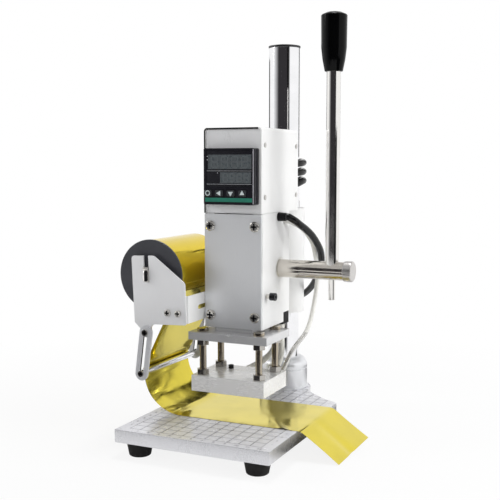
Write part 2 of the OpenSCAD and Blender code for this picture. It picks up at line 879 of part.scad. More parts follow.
module box_chassis() {
    sheet = 1.5;
    inner_h = box_h - box_wall - 0.1;
    color("gray")
        difference() {
            union() {
                translate([-chassis_half, panel_y, box_z])
                    cube([2 * chassis_half, back_y - panel_y, sheet]);
                for (y = [panel_y, back_y - sheet])
                    translate([0, 0, box_z])
                        across_y(y, sheet)
                            box_arch(2 * chassis_half, inner_h, box_round - box_wall);
                for (x = [-chassis_half, chassis_half - tab_t], y = [panel_y, back_y - 9])
                    translate([x, y, box_z])
                        cube([tab_t, 9, inner_h - 5]);
            }
            translate([0, panel_y - cut, bezel_z])
                rotate([-90, 0, 0])
                    linear_extrude(sheet + 2 * cut)
                        square(case_side + 0.6, center = true);
            for (y = rivet_y, z = rivet_z)
                bar_x([-half_head, y, z], rivet_hole, head_w);
            bar_y([winding_end()[0], back_y - sheet - cut, winding_end()[2]], lead_r + seat_gap, sheet + 2 * cut);
            translate([wire_way_x, gland_at[1], box_z - cut])
                cylinder(r = lead_r, h = sheet + 2 * cut);
        }
}

module box_rivets() {
    inner = chassis_half - tab_t - 0.8;
    color("lightgray")
        for (side = [-1, 1], y = rivet_y, z = rivet_z)
            scale([side, 1, 1]) {
                bar_x([inner, y, z], rivet_hole - seat_gap, half_head - inner);
                bar_x([half_head, y, z], rivet_r, 0.5);
                translate([half_head + 0.5, y, z])
                    rotate([0, 90, 0])
                        cylinder(r1 = rivet_r, r2 = rivet_r - 0.6, h = 0.4);
            }
}

module controller_case() {
    color("black")
        translate([0, panel_y, bezel_z])
            rotate([-90, 0, 0])
                linear_extrude(case_d)
                    square(case_side, center = true);
}

module controller_bezel() {
    color("black")
        difference() {
            translate([0, 0, bezel_z])
                across_y(bezel_front, bezel_t)
                    rounded_rect(bezel, bezel, 1.2);
            translate([-lens_half, bezel_front - cut, bezel_z + lens_low])
                cube([2 * lens_half, lens_t + cut, lens_high - lens_low]);
            for (i = [0 : 3])
                key_body(i, 0.35, bezel_front - cut, key_well + cut);
        }
}

module display_lens() {
    color("darkslategray")
        translate([-lens_half + 0.1, bezel_front + 0.3, bezel_z + lens_low + 0.1])
            cube([2 * lens_half - 0.2, lens_t - 0.3, lens_high - lens_low - 0.2]);
}

module key_body(i, grow, y, t) {
    translate([key_start + i * key_pitch, 0, bezel_z - key_drop])
        across_y(y, t)
            rounded_rect(key_w + 2 * grow, key_h + 2 * grow, 1.2);
}

module key(i) {
    color("darkgreen")
        key_body(i, 0, bezel_front - key_proud, key_proud + key_well - 1.1);
}

module mains_inlet() {
    socket_z = inlet_z - 8;
    color("black")
        difference() {
            union() {
                translate([-half_head - inlet_flange, inlet_y, inlet_z])
                    rotate([90, 0, 90])
                        linear_extrude(inlet_flange)
                            rounded_rect(inlet_w, inlet_h, 2);
                translate([-half_head, inlet_y, inlet_z])
                    rotate([90, 0, 90])
                        linear_extrude(inlet_depth)
                            square([inlet_body_w, inlet_body_h], center = true);
            }
            translate([-half_head - inlet_flange - cut, inlet_y, socket_z])
                rotate([90, 0, 90])
                    linear_extrude(16 + cut)
                        rounded_rect(23, 16.5, 3);
            translate([-half_head - inlet_flange - cut, inlet_y, rocker_z])
                rotate([90, 0, 90])
                    linear_extrude(11 + cut)
                        square([rocker_w + 0.8, rocker_h + 1.4], center = true);
            bar_y(rocker_pin_start(), rocker_pin_r + seat_gap, rocker_w + 2 * rocker_pin);
        }
    color("goldenrod")
        for (p = [[-7, -2], [0, 2], [7, -2]])
            translate([-half_head - inlet_flange + 7, inlet_y + p[0] - 1, socket_z + p[1] - 2])
                cube([9 + cut, 2, 4]);
}

function rocker_pin_start() = [rocker_x, inlet_y - rocker_w / 2 - rocker_pin, rocker_z];

module power_rocker() {
    color("darkred") {
        translate([rocker_x, inlet_y - rocker_w / 2, rocker_z])
            rotate([0, rocker_tilt, 0])
                across_y(0, rocker_w)
                    polygon([
                        [3, -rocker_h / 2 + 1], [-2, -rocker_h / 2], [-1, 0], [-2, rocker_h / 2], [3, rocker_h / 2 - 1]
                    ]);
        bar_y(rocker_pin_start() + [0, seat_gap, 0], rocker_pin_r, rocker_w + 2 * rocker_pin - 2 * seat_gap);
    }
}

// Leads
function winding_height(a) = winding_low + (a < 0 ? lead_in_drop * a / 90 : winding_pitch * a / 360);
function winding_point(a) = [winding_r * cos(a), column_y + winding_r * sin(a), table_z + winding_height(a)];
function winding_end() = winding_point(winding_to);
function winding_path() = concat(
    [for (a = [winding_from : 15 : winding_to]) winding_point(a)],
    [for (y = [column_y - 10, back_y + gland_len + 2 * lead_r, back_y + gland_len])
        [winding_end()[0], y, winding_end()[2]]]
);

module lead_glands() {
    color("black") {
        difference() {
            translate([half_head, gland_at[1], table_z + gland_at[2]])
                rotate([0, 90, 0])
                    cylinder(r1 = gland_r, r2 = gland_r - 0.3, h = gland_len);
            bar_x([half_head - cut, gland_at[1], table_z + gland_at[2]], lead_r - 0.2, gland_len + 2 * cut);
        }
        translate([winding_end()[0], back_y, winding_end()[2]])
            rotate([-90, 0, 0])
                difference() {
                    cylinder(r1 = gland_r + 2, r2 = gland_r, h = gland_len);
                    translate([0, 0, -cut])
                        cylinder(r = lead_r - 0.2, h = gland_len + 2 * cut);
                }
    }
}

module power_lead() {
    start = [for (x = [0, 2]) gland_at + [gland_len + x, 0, 0]];
    path = concat(above_table(concat(start, power_route)), [winding_path()[0]]);
    color("black")
        tube(path, lead_r, 8);
}

module lead_winding() {
    path = winding_path();
    echo(least_gap_in_winding = least_gap(path, 12, lead_r));
    color("black")
        tube(path, lead_r, 6);
}

module sensor_lead() {
    path = above_table(concat(sensor_route, [[probe_x, press_back + probe_proud + seat_gap, block_mid - table_z]]));
    color("white")
        tube(path, sensor_r, 8);
}

module heater_lead(x, route, exit) {
    level = block_mid - table_z;
    start = [[x, press_back + seat_gap, level], [x, press_back + heater_lead_r, level]];
    end = [for (z = [-grommet_drop - heater_lead_r / 2, heater_sink]) [exit[0], exit[1], head_rest + z]];
    tube(above_table(concat(start, route, end)), heater_lead_r, 8);
}

module heater_leads() {
    color("ivory") {
        heater_lead(-heater_x, heater_left, heater_exit[0]);
        heater_lead(heater_x, heater_right, heater_exit[1]);
    }
}

module heater_grommet() {
    color("black")
        difference() {
            translate([notch_x + 0.1, notch_y + 0.1, head_z - grommet_drop])
                cube([half_head - notch_x - 0.4, head_d - notch_y - 0.4, grommet_drop + notch_h - seat_gap]);
            for (p = heater_exit)
                translate([p[0], p[1], head_z - grommet_drop - cut])
                    cylinder(r = heater_lead_r + seat_gap, h = grommet_drop + heater_sink + cut + seat_gap);
        }
}

module return_spring() {
    low = lug_z + lug_h + wire_r;
    rise = spring_len - 2 * wire_r;
    count = spring_turns * 8;
    path = [for (i = [0 : count]) let (a = 360 * i / 8)
        [spring_r * cos(a), spring_y + spring_r * sin(a), low + rise * i / count]];
    echo(least_gap_in_spring = least_gap(path, 5, wire_r));
    color("silver")
        tube(path, wire_r, 6);
}

// Foil holder group
module foil_bracket() {
    flange_reach = 25;
    low = head_z + bracket_up;
    color("lightgray")
        difference() {
            union() {
                translate([-half_head - sheet_t, -bracket_front, low])
                    cube([sheet_t, bracket_front + bracket_rear, bracket_h]);
                for (y = [-bracket_front, bracket_rear - sheet_t])
                    translate([-half_head - flange_reach, y, low])
                        cube([flange_reach, sheet_t, bracket_h]);
            }
            across_x(-half_head - sheet_t - cut, sheet_t + 2 * cut)
                translate([-10, bracket_mid_z()])
                    rotate(-90)
                        stadium(bracket_screw_y[1] + 16, bracket_slot / 2);
            for (x = side_screw_x(), y = [-bracket_front - cut, bracket_rear - sheet_t - cut])
                bar_y([x, y, pivot_z], small_screw_r + seat_gap, sheet_t + 2 * cut);
        }
}

function side_screw_x() = [pivot_x - 5.1, pivot_x + 5.1];

module bracket_screws() {
    seat = -half_head - sheet_t;
    color("silver")
        for (y = bracket_screw_y) {
            bar_x([seat - 1, y, bracket_mid_z()], 4.5, 1);
            bar_x([seat - 3.4, y, bracket_mid_z()], 3.5, 2.4);
            bar_x([seat, y, bracket_mid_z()], cover_screw_r - seat_gap, sheet_t + 5);
        }
}

module side_outline() {
    left = -39;
    right = 12.6;
    low = -10.2;
    high = 49.6;
    neck = [-33.5, -22.6];
    neck_low = -21.8;
    fillet = 4;
    corner_r = 2.5;
    edge = 1.5;
    round_top = [for (a = [180 : -30 : 90]) [left, high] + corner_r * [1 + cos(a), sin(a) - 1]];
    hollow = [for (a = [180 : -15 : 90]) [neck[1] + fillet, low - fillet] + fillet * [cos(a), sin(a)]];
    difference() {
        polygon(concat(
            [[left, low + edge]], round_top,
            [[-17.8, high], [-15.6, high - 1], [right - 1, 26.6], [right, 24.5], [right, low + edge], [right - edge, low]],
            [for (i = [len(hollow) - 1 : -1 : 0]) hollow[i]],
            [[neck[1], neck_low], [neck[0], neck_low], [neck[0], low - fillet]]
        ));
        translate([slot_x - slot_w / 2, slot_low])
            square([slot_w, high]);
    }
}

module side_plate(y) {
    color("lightgray")
        difference() {
            translate([pivot_x, 0, pivot_z])
                rotate([0, -plate_lean, 0])
                    across_y(y, sheet_t)
                        side_outline();
            for (x = side_screw_x())
                bar_y([x, y - cut, pivot_z], small_screw_r + seat_gap, sheet_t + 2 * cut);
            bar_y([arm_at[0], y - cut, arm_at[1]], small_screw_r + seat_gap, sheet_t + 2 * cut);
        }
}

// Screws that face the front at one end and the back at the other
module screw_pair(at, front, rear, grip) {
    translate([at[0], front, at[1]])
        rotate([-90, 0, 0])
            small_screw(grip);
    translate([at[0], rear, at[1]])
        rotate([90, 0, 0])
            small_screw(grip);
}

module small_screw(grip) {
    difference() {
        union() {
            translate([0, 0, -small_head_h])
                cylinder(r = small_head_r, h = small_head_h);
            cylinder(r = small_screw_r, h = grip);
        }
        for (a = [0, 90])
            rotate([0, 0, a])
                translate([-1.6, -0.35, -small_head_h - cut])
                    cube([3.2, 0.7, cut + 1]);
    }
}

module side_plate_screws() {
    color("silver")
        for (x = side_screw_x())
            screw_pair([x, pivot_z], side_front, side_rear + sheet_t, 2 * sheet_t + 2);
}

module arm_pivot_screws() {
    color("silver")
        screw_pair(arm_at, arm_front - arm_gap, arm_rear + arm_t + arm_gap, arm_t + sheet_t + 2 * arm_gap + 1);
}

module roll_axle() {
    start = side_front - 2;
    end = side_rear + sheet_t + 2;
    flat_front = -bracket_front + 0.4;
    flat_rear = side_rear - 0.4;
    color("silver")
        difference() {
            bar_y([roll_at[0], start, roll_at[1]], axle_r, end - start);
            for (y = [[start - cut, flat_front], [flat_rear, end + cut]], side = [-1, 1])
                translate([roll_at[0], y[0], roll_at[1]])
                    rotate([0, -plate_lean, 0])
                        translate([side * (axle_flat / 2 + axle_r) - axle_r, 0, -2 * axle_r])
                            cube([2 * axle_r, y[1] - y[0], 4 * axle_r]);
        }
}

// Foil roll
module roll_flange(inward, r) {
    rotate([inward * -90, 0, 0])
        rotate_extrude()
            difference() {
                union() {
                    square([r, flange_t]);
                    square([hub_r, flange_t + hub_len]);
                }
                translate([0, -cut])
                    square([axle_r + 0.08, flange_t + hub_len + 2 * cut]);
            }
}

module roll_flanges() {
    color("black") {
        translate([roll_at[0], roll_y - flange_t - seat_gap, roll_at[1]])
            roll_flange(1, flange_r);
        translate([roll_at[0], roll_back + flange_t + seat_gap, roll_at[1]])
            roll_flange(-1, rear_flange_r);
    }
}

module roll_core() {
    color("tan")
        difference() {
            bar_y([roll_at[0], roll_y, roll_at[1]], core_r, foil_w);
            bar_y([roll_at[0], roll_y - cut, roll_at[1]], core_r - core_wall, foil_w + 2 * cut);
        }
}

module foil_roll() {
    color("gold")
        difference() {
            bar_y([roll_at[0], roll_y, roll_at[1]], foil_r, foil_w);
            bar_y([roll_at[0], roll_y - cut, roll_at[1]], core_r + seat_gap, foil_w + 2 * cut);
        }
}

// Foil guide
module guide_arms() {
    color("gainsboro")
        for (y = [arm_front, arm_rear])
            across_y(y, arm_t)
                translate(rod_at)
                    rotate(-arm_lean)
                        difference() {
                            stadium(arm_len, arm_w / 2);
                            stadium(arm_len, small_screw_r + 0.1);
                        }
}

module guide_rod() {
    color("gainsboro")
        difference() {
            bar_y([rod_at[0], arm_front + arm_t, rod_at[1]], guide_r, arm_rear - arm_front - arm_t);
            bar_y([rod_at[0], arm_front, rod_at[1]], small_screw_r + seat_gap, arm_t + 8);
            bar_y([rod_at[0], arm_rear - 8, rod_at[1]], small_screw_r + seat_gap, 9);
        }
}

module guide_screws() {
    color("silver")
        screw_pair(rod_at, arm_front, arm_rear + arm_t, arm_t + 7);
}

// Lever group
module lever_shaft() {
    color("lightgray")
        difference() {
            union() {
                bar_x([shaft_start, axis_y, axis_z], shaft_r, shaft_reach - shaft_start);
                bar_x([shaft_reach - cut, axis_y, axis_z], spigot_r, 5 + cut);
            }
            translate([rod_x, axis_y, axis_z - shaft_r - cut])
                cylinder(r = stub_r + seat_gap, h = 2 * shaft_r + 2 * cut);
            translate([rod_x, axis_y, axis_z + rod_seat])
                cylinder(r = rod_r + seat_gap, h = shaft_r);
        }
}

// Flank of a pinion tooth at roll angle t, as radius and angle from the tooth's middle
half_tooth = 90 / pinion_teeth + (tan(pressure) * 180 / PI - pressure) - backlash / pitch_r * 45 / PI;
tip_roll = sqrt(tip_r * tip_r / base_r / base_r - 1) * 180 / PI;
function flank(t) = let (a = t * PI / 180) [base_r * sqrt(1 + a * a), half_tooth - (t - atan(a))];
function polar(r, a) = [r * cos(a), r * sin(a)];

module pinion_outline() {
    flank_steps = 5;
    polygon([for (k = [0 : pinion_teeth - 1]) let (mid = (k + 0.5) * 360 / pinion_teeth) each concat(
        [polar(root_r, mid - half_tooth)],
        [for (i = [0 : flank_steps]) let (f = flank(tip_roll * i / flank_steps)) polar(f[0], mid - f[1])],
        [for (i = [flank_steps : -1 : 0]) let (f = flank(tip_roll * i / flank_steps)) polar(f[0], mid + f[1])],
        [polar(root_r, mid + half_tooth)]
    )]);
}

module drive_pinion() {
    color("dimgray")
        difference() {
            across_x(-pinion_w / 2, pinion_w)
                translate([axis_y, axis_z])
                    pinion_outline();
            bar_x([-pinion_w / 2 - cut, axis_y, axis_z], shaft_r + 0.02, pinion_w + 2 * cut);
        }
}

module shaft_cap() {
    edge = 0.8;
    color("lightgray")
        difference() {
            union() {
                bar_x([shaft_reach + 0.1, axis_y, axis_z], end_cap_r, end_cap_len - edge);
                translate([shaft_reach + 0.1 + end_cap_len - edge, axis_y, axis_z])
                    rotate([0, 90, 0])
                        cylinder(r1 = end_cap_r, r2 = end_cap_r - edge, h = edge);
            }
            bar_x([shaft_reach - cut, axis_y, axis_z], spigot_r + seat_gap, 5 + 2 * cut);
        }
}

module lever_rod() {
    color("lightgray")
        translate([rod_x, axis_y, axis_z]) {
            translate([0, 0, rod_seat])
                cylinder(r = rod_r, h = rod_up - rod_seat - 28 + knob_bore);
            translate([0, 0, -stub_down])
                cylinder(r = stub_r, h = stub_down + rod_seat + cut);
        }
}

module lever_knob() {
    low = rod_up - 28;
    waist_up = 0.4 * knob_len;
    dome = 2.2;
    color("black")
        translate([rod_x, axis_y, axis_z + low])
            rotate_extrude()
                polygon([
                    [rod_r + seat_gap, 0], [knob_low_r - 0.4, 0], [knob_low_r, 0.5],
                    [(knob_low_r + knob_top_r) / 2 + 0.2, waist_up / 2], [knob_top_r - 0.3, waist_up],
                    [knob_top_r, knob_len - dome - 0.8], [knob_top_r - 0.8, knob_len - dome],
                    [knob_top_r * 0.6, knob_len - 0.5], [0, knob_len], [0, knob_bore + 0.2], [rod_r + seat_gap, knob_bore + 0.2]
                ]);
}

// Press group
module rack_teeth() {
    count = floor(rack_len / tooth_pitch / 2);
    half_tip = tooth_pitch / 4 - gear_module * tan(pressure) - backlash / 4;
    half_root = tooth_pitch / 4 + 1.25 * gear_module * tan(pressure) - backlash / 4;
    for (i = [-count + 2 : count + 2])
        translate([0, axis_z + i * tooth_pitch])
            polygon([
                [rack_root - 0.5, -half_root], [rack_root, -half_root], [rack_tip, -half_tip],
                [rack_tip, half_tip], [rack_root, half_root], [rack_root - 0.5, half_root]
            ]);
}

module rack_ram() {
    color("silver")
        difference() {
            union() {
                translate([-ram_w / 2, ram_front, plate_top])
                    cube([ram_w, rack_root - ram_front, ram_top - plate_top]);
                across_x(-ram_w / 2, ram_w)
                    rack_teeth();
            }
            translate([-groove_half, 0, lug_z - 1])
                cube([2 * groove_half, groove_back, spring_len + lug_h + 1]);
            for (x = [-1, 1])
                translate([x * ram_screw_pitch / 2, press_y, plate_top - cut])
                    cylinder(r = ram_screw_r, h = 14 + cut);
        }
}

module upper_plate() {
    color("silver")
        difference() {
            translate([-plate_w / 2, press_y - plate_d / 2, plate_low])
                cube([plate_w, plate_d, plate_t]);
            for (p = studs)
                translate([p[0], p[1], plate_low - cut])
                    cylinder(r = stud_r + 0.1, h = plate_t + 2 * cut);
            for (x = [-1, 1])
                translate([x * ram_screw_pitch / 2, press_y, plate_low - cut]) {
                    cylinder(r = ram_screw_r + 0.2, h = plate_t + 2 * cut);
                    cylinder(r = ram_head_r + 0.3, h = ram_head_h + cut + 0.3);
                }
        }
}

module ram_screws() {
    color("dimgray")
        for (x = [-1, 1])
            translate([x * ram_screw_pitch / 2, press_y, plate_low + 0.3])
                difference() {
                    union() {
                        cylinder(r = ram_head_r, h = ram_head_h);
                        cylinder(r = ram_screw_r - seat_gap, h = plate_t + 11);
                    }
                    translate([0, 0, -cut])
                        cylinder(r = 2.8, h = 2 + cut, $fn = 6);
                }
}

module stud_bolts() {
    color("silver")
        for (p = studs)
            translate([p[0], p[1], block_top - stud_sink + 1])
                union() {
                    cylinder(r = stud_r, h = plate_top - block_top + stud_sink - 1);
                    translate([0, 0, plate_top - block_top + stud_sink - 1])
                        cylinder(r = stud_head_r, h = stud_head_h);
                }
}

module stud_nuts() {
    color("silver")
        for (p = studs, z = [block_top, plate_low - nut_h])
            translate([p[0], p[1], z])
                difference() {
                    cylinder(r = nut_flats / sqrt(3), h = nut_h, $fn = 6);
                    translate([0, 0, -cut])
                        cylinder(r = stud_r + seat_gap, h = nut_h + 2 * cut);
                }
}

module heater_block() {
    color("silver")
        difference() {
            translate([-block_w / 2, press_y - block_d / 2, block_low])
                cube([block_w, block_d, block_t]);
            for (p = studs)
                translate([p[0], p[1], block_top - stud_sink])
                    cylinder(r = stud_r + seat_gap, h = stud_sink + cut);
            for (x = [-1, 1])
                bar_y([x * heater_x, press_back - heater_len - 1, block_mid], heater_r + 0.1, heater_len + 2 * cut);
            bar_y([probe_x, press_back - 15, block_mid], probe_r + seat_gap, 15 + cut);
        }
}

module cartridge_heaters() {
    color("gray")
        for (x = [-1, 1])
            bar_y([x * heater_x, press_back - heater_len, block_mid], heater_r, heater_len);
}

module sensor_probe() {
    color("silver") {
        bar_y([probe_x, press_back - 14, block_mid], probe_r, 14);
        bar_y([probe_x, press_back, block_mid], probe_r + 0.6, probe_proud);
    }
}

module at_origin() {
    translate(-origin)
        children();
}

at_origin() base_plate();
at_origin() rubber_feet();
at_origin() foot_screws();
at_origin() column();
at_origin() column_bolt();
at_origin() column_foot();
at_origin() column_cap();
at_origin() foil_web();
at_origin() head_housing();
at_origin() front_cover();
at_origin() front_cover_screws();
at_origin() shaft_bushes();
at_origin() gib_plate();
at_origin() gib_screw();
at_origin() clamp_bolts();
at_origin() control_box();
at_origin() box_chassis();
at_origin() box_rivets();
at_origin() controller_case();
at_origin() controller_bezel();
at_origin() display_lens();
at_origin() key(0);  // key_set
at_origin() key(1);  // key_shift
at_origin() key(2);  // key_down
at_origin() key(3);  // key_up
at_origin() mains_inlet();
at_origin() power_rocker();
at_origin() lead_glands();
at_origin() power_lead();
at_origin() lead_winding();
at_origin() foil_bracket();
at_origin() bracket_screws();
at_origin() side_plate(side_front);  // front_side_plate
at_origin() side_plate(side_rear);  // rear_side_plate
at_origin() side_plate_screws();
at_origin() arm_pivot_screws();
at_origin() roll_axle();
at_origin() heater_grommet();
at_origin() sensor_lead();
at_origin() heater_leads();
at_origin() return_spring();
at_origin() lever_shaft();
at_origin() drive_pinion();
at_origin() shaft_cap();
at_origin() lever_rod();
at_origin() lever_knob();
at_origin() rack_ram();
at_origin() upper_plate();
at_origin() ram_screws();
at_origin() stud_bolts();
at_origin() stud_nuts();
at_origin() heater_block();
at_origin() cartridge_heaters();
at_origin() sensor_probe();
at_origin() roll_flanges();
at_origin() roll_core();
at_origin() foil_roll();
at_origin() guide_arms();
at_origin() guide_rod();
at_origin() guide_screws();
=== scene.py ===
"""Finishes, leads, foil and studio for a hand-lever hot foil stamping press."""
import json
import math
from contextlib import contextmanager

import bpy
from bpy.props import FloatProperty, FloatVectorProperty, PointerProperty
from mathutils import Matrix, Vector, noise


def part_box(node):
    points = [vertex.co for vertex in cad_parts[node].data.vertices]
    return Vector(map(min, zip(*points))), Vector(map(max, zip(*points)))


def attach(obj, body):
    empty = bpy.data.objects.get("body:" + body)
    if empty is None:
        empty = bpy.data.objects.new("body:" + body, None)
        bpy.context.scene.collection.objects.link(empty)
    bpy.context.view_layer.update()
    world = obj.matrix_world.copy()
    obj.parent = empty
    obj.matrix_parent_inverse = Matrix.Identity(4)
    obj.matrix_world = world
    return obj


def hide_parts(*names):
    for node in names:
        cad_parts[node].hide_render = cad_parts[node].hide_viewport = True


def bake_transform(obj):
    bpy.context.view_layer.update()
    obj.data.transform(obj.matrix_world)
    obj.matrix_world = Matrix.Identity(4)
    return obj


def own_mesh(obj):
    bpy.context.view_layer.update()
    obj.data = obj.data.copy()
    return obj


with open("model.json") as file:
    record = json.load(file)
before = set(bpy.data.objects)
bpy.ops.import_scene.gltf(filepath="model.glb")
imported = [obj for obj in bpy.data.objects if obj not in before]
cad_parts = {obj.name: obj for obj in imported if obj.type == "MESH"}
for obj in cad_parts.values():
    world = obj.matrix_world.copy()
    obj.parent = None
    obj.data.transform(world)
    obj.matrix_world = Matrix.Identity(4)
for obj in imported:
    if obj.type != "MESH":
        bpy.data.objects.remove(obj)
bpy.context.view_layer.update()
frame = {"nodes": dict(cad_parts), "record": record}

bl_info = {
    "name": "Foil Press",
    "version": (1, 0, 0),
    "blender": (4, 5, 0),
    "location": "View3D > Sidebar > Foil Press",
    "description": "Dresses the foil press: leads, foil, finishes, printed marks and studio",
    "category": "Object",
}

BODY_OF = {
    node: body
    for body, nodes in frame["record"]["behaviour"]["bodies"].items()
    for node in nodes
}
MM = 0.001

# The press's own origin: mid-plane of the head, its front face, the table's top
COLUMN = sum(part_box("column"), Vector()) / 2
COLUMN_FROM_FACE = 115
TABLE_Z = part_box("base_plate")[1].z
TABLE_RISE = 23.5


def at(x, y, up):
    """A point given in millimetres from the head's middle, its front face and the table."""
    return Vector((
        COLUMN.x + x * MM, COLUMN.y + (y - COLUMN_FROM_FACE) * MM, TABLE_Z + up * MM))


def front_middle(node):
    """The middle of the front of a node's box."""
    low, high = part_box(node)
    return Vector(((low.x + high.x) / 2, low.y, (low.z + high.z) / 2))


# Settings

def length(name, text, default):
    """A length that a user may change, in metres."""
    return FloatProperty(name=name, description=text, default=default, unit="LENGTH", precision=5)


def colour(name, text, default):
    """A colour that a user may change, linear."""
    return FloatVectorProperty(
        name=name, description=text, default=default, subtype="COLOR", size=3, min=0, max=1
    )


class PressSizes(bpy.types.PropertyGroup):
    """Sizes of the dressed pieces."""

    power_lead: length("Power lead", "Diameter of the black lead", 0.0065)
    sensor_lead: length("Sensor lead", "Diameter of the sensor lead", 0.004)
    heater_lead: length("Heater lead", "Diameter of a heater sleeve", 0.0055)
    foil_width: length("Foil width", "Width of the foil web", 0.0794)
    foil_thickness: length("Foil thickness", "Thickness of the foil web", 0.00012)
    foil_ripple: length("Foil ripple", "Height of the web's folds in the sweep", 0.0018)
    grid_pitch: length("Grid pitch", "Distance between the table's printed lines", 0.01)
    grid_line: length("Grid line", "Width of a printed line", 0.0009)
    number_height: length("Number height", "Height of the table's numbers", 0.0042)


class PressColours(bpy.types.PropertyGroup):
    """Colours of the finishes."""

    paint: colour("Paint", "White powder coat of head and box", (0.80, 0.80, 0.795))
    panel: colour("Panel", "Satin front cover", (0.77, 0.78, 0.80))
    table: colour("Table", "Satin anodised table", (0.74, 0.74, 0.775))
    print_ink: colour("Print", "Printed grid and numbers", (0.045, 0.045, 0.06))
    foil: colour("Foil", "Gold stamping foil", (0.78, 0.645, 0.07))
    chrome: colour("Chrome", "Plated column and lever", (0.94, 0.94, 0.955))
    bright_zinc: colour("Zinc", "Plated screws and nuts", (0.74, 0.72, 0.68))
    plate: colour("Plate", "Ground press plates", (0.72, 0.72, 0.73))
    sheet: colour("Sheet", "Satin sheet of the foil holder", (0.84, 0.84, 0.85))
    black: colour("Black", "Black moulded plastic", (0.016, 0.016, 0.018))
    rubber: colour("Rubber", "Rubber of feet and grommets", (0.010, 0.0095, 0.0095))
    strip: colour("Strip", "Green strip under the keys", (0.012, 0.19, 0.125))
    window: colour("Window", "Unlit display window", (0.085, 0.098, 0.105))


# Selecting and shaping

ROUNDED_FROM, SMOOTH_TO, FOIL_SMOOTH_TO = (math.radians(angle) for angle in (40, 50, 60))
SAME_POINT, SAME_PLANE = 2e-6, math.radians(0.6)


def clear_selection():
    """Leaves edit mode and selects nothing."""
    if bpy.context.object and bpy.context.object.mode != "OBJECT":
        bpy.ops.object.mode_set(mode="OBJECT")
    bpy.ops.object.select_all(action="DESELECT")


def pick(*pieces):
    """Selects these objects alone, the first one active."""
    clear_selection()
    for piece in pieces:
        piece.select_set(True)
    bpy.context.view_layer.objects.active = pieces[0]


@contextmanager
def editing(piece):
    """Edit mode on one piece, with all of it selected."""
    pick(piece)
    bpy.ops.object.mode_set(mode="EDIT")
    bpy.ops.mesh.select_all(action="SELECT")
    yield
    bpy.ops.object.mode_set(mode="OBJECT")


def name_piece(name):
    """Names the active object and its data."""
    piece = bpy.context.active_object
    piece.name = name
    piece.data.name = name
    return piece


def settle(piece):
    """Puts the piece's place into its mesh."""
    pick(piece)
    bpy.ops.object.transform_apply(location=True, rotation=True, scale=True)
    return piece


def apply_modifier(piece, kind, **values):
    """Adds a modifier with these values and applies it."""
    pick(piece)
    modifier = piece.modifiers.new(kind.lower(), kind)
    for key, value in values.items():
        setattr(modifier, key, value)
    bpy.ops.object.modifier_apply(modifier=modifier.name)


def soften(piece, width, segments=2):
    """Rounds a piece's edges by a width in millimetres and keeps the faces between them flat."""
    if width:
        apply_modifier(
            piece, "BEVEL", width=width * MM, segments=segments, limit_method="ANGLE",
            angle_limit=ROUNDED_FROM, miter_outer="MITER_ARC",
        )
    pick(piece)
    bpy.ops.object.shade_smooth_by_angle(angle=SMOOTH_TO)
    apply_modifier(piece, "WEIGHTED_NORMAL", keep_sharp=True, weight=80)


def block(name, low, high, edge=0.0):
    """A box between two corners, in metres, with its edges rounded."""
    clear_selection()
    low, high = Vector(low), Vector(high)
    bpy.ops.mesh.primitive_cube_add(size=1, location=(low + high) / 2)
    piece = name_piece(name)
    piece.scale = high - low
    settle(piece)
    if edge:
        soften(piece, edge)
    return piece


def join(name, pieces):
    """Joins pieces into one."""
    pick(*pieces)
    if len(pieces) > 1:
        bpy.ops.object.join()
    return name_piece(name)


def paint(piece, finish):
    """Gives a piece one finish."""
    piece.data.materials.clear()
    piece.data.materials.append(finish)


def second_finish(piece, finish, picked):
    """Gives another finish to the faces that a test picks."""
    piece.data.materials.append(bpy.data.materials[finish])
    for face in piece.data.polygons:
        face.material_index = int(picked(face))


def fitted_copy(node, edge):
    """A copy of a node with merged faces and rounded edges, which stands for the node."""
    clear_selection()
    name = node + "_made"
    piece = bpy.data.objects.new(name, frame["nodes"][node].data.copy())
    bpy.context.scene.collection.objects.link(piece)
    piece.data.name = name
    with editing(piece):
        bpy.ops.mesh.remove_doubles(threshold=SAME_POINT)
        bpy.ops.mesh.dissolve_limited(angle_limit=SAME_PLANE)
    soften(piece, edge)
    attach(piece, BODY_OF[node])
    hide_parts(node)
    return piece


# Finishes

def add_node(tree, kind, inputs=None, **values):
    """A new node; an input takes a plain value or another node's output."""
    made = tree.nodes.new(kind)
    for key, value in values.items():
        setattr(made, key, value)
    for key, value in (inputs or {}).items():
        if isinstance(value, bpy.types.NodeSocket):
            tree.links.new(value, made.inputs[key])
        else:
            made.inputs[key].default_value = value
    return made


def scaled(base, share):
    """A colour times a share."""
    return tuple(c * share for c in base)


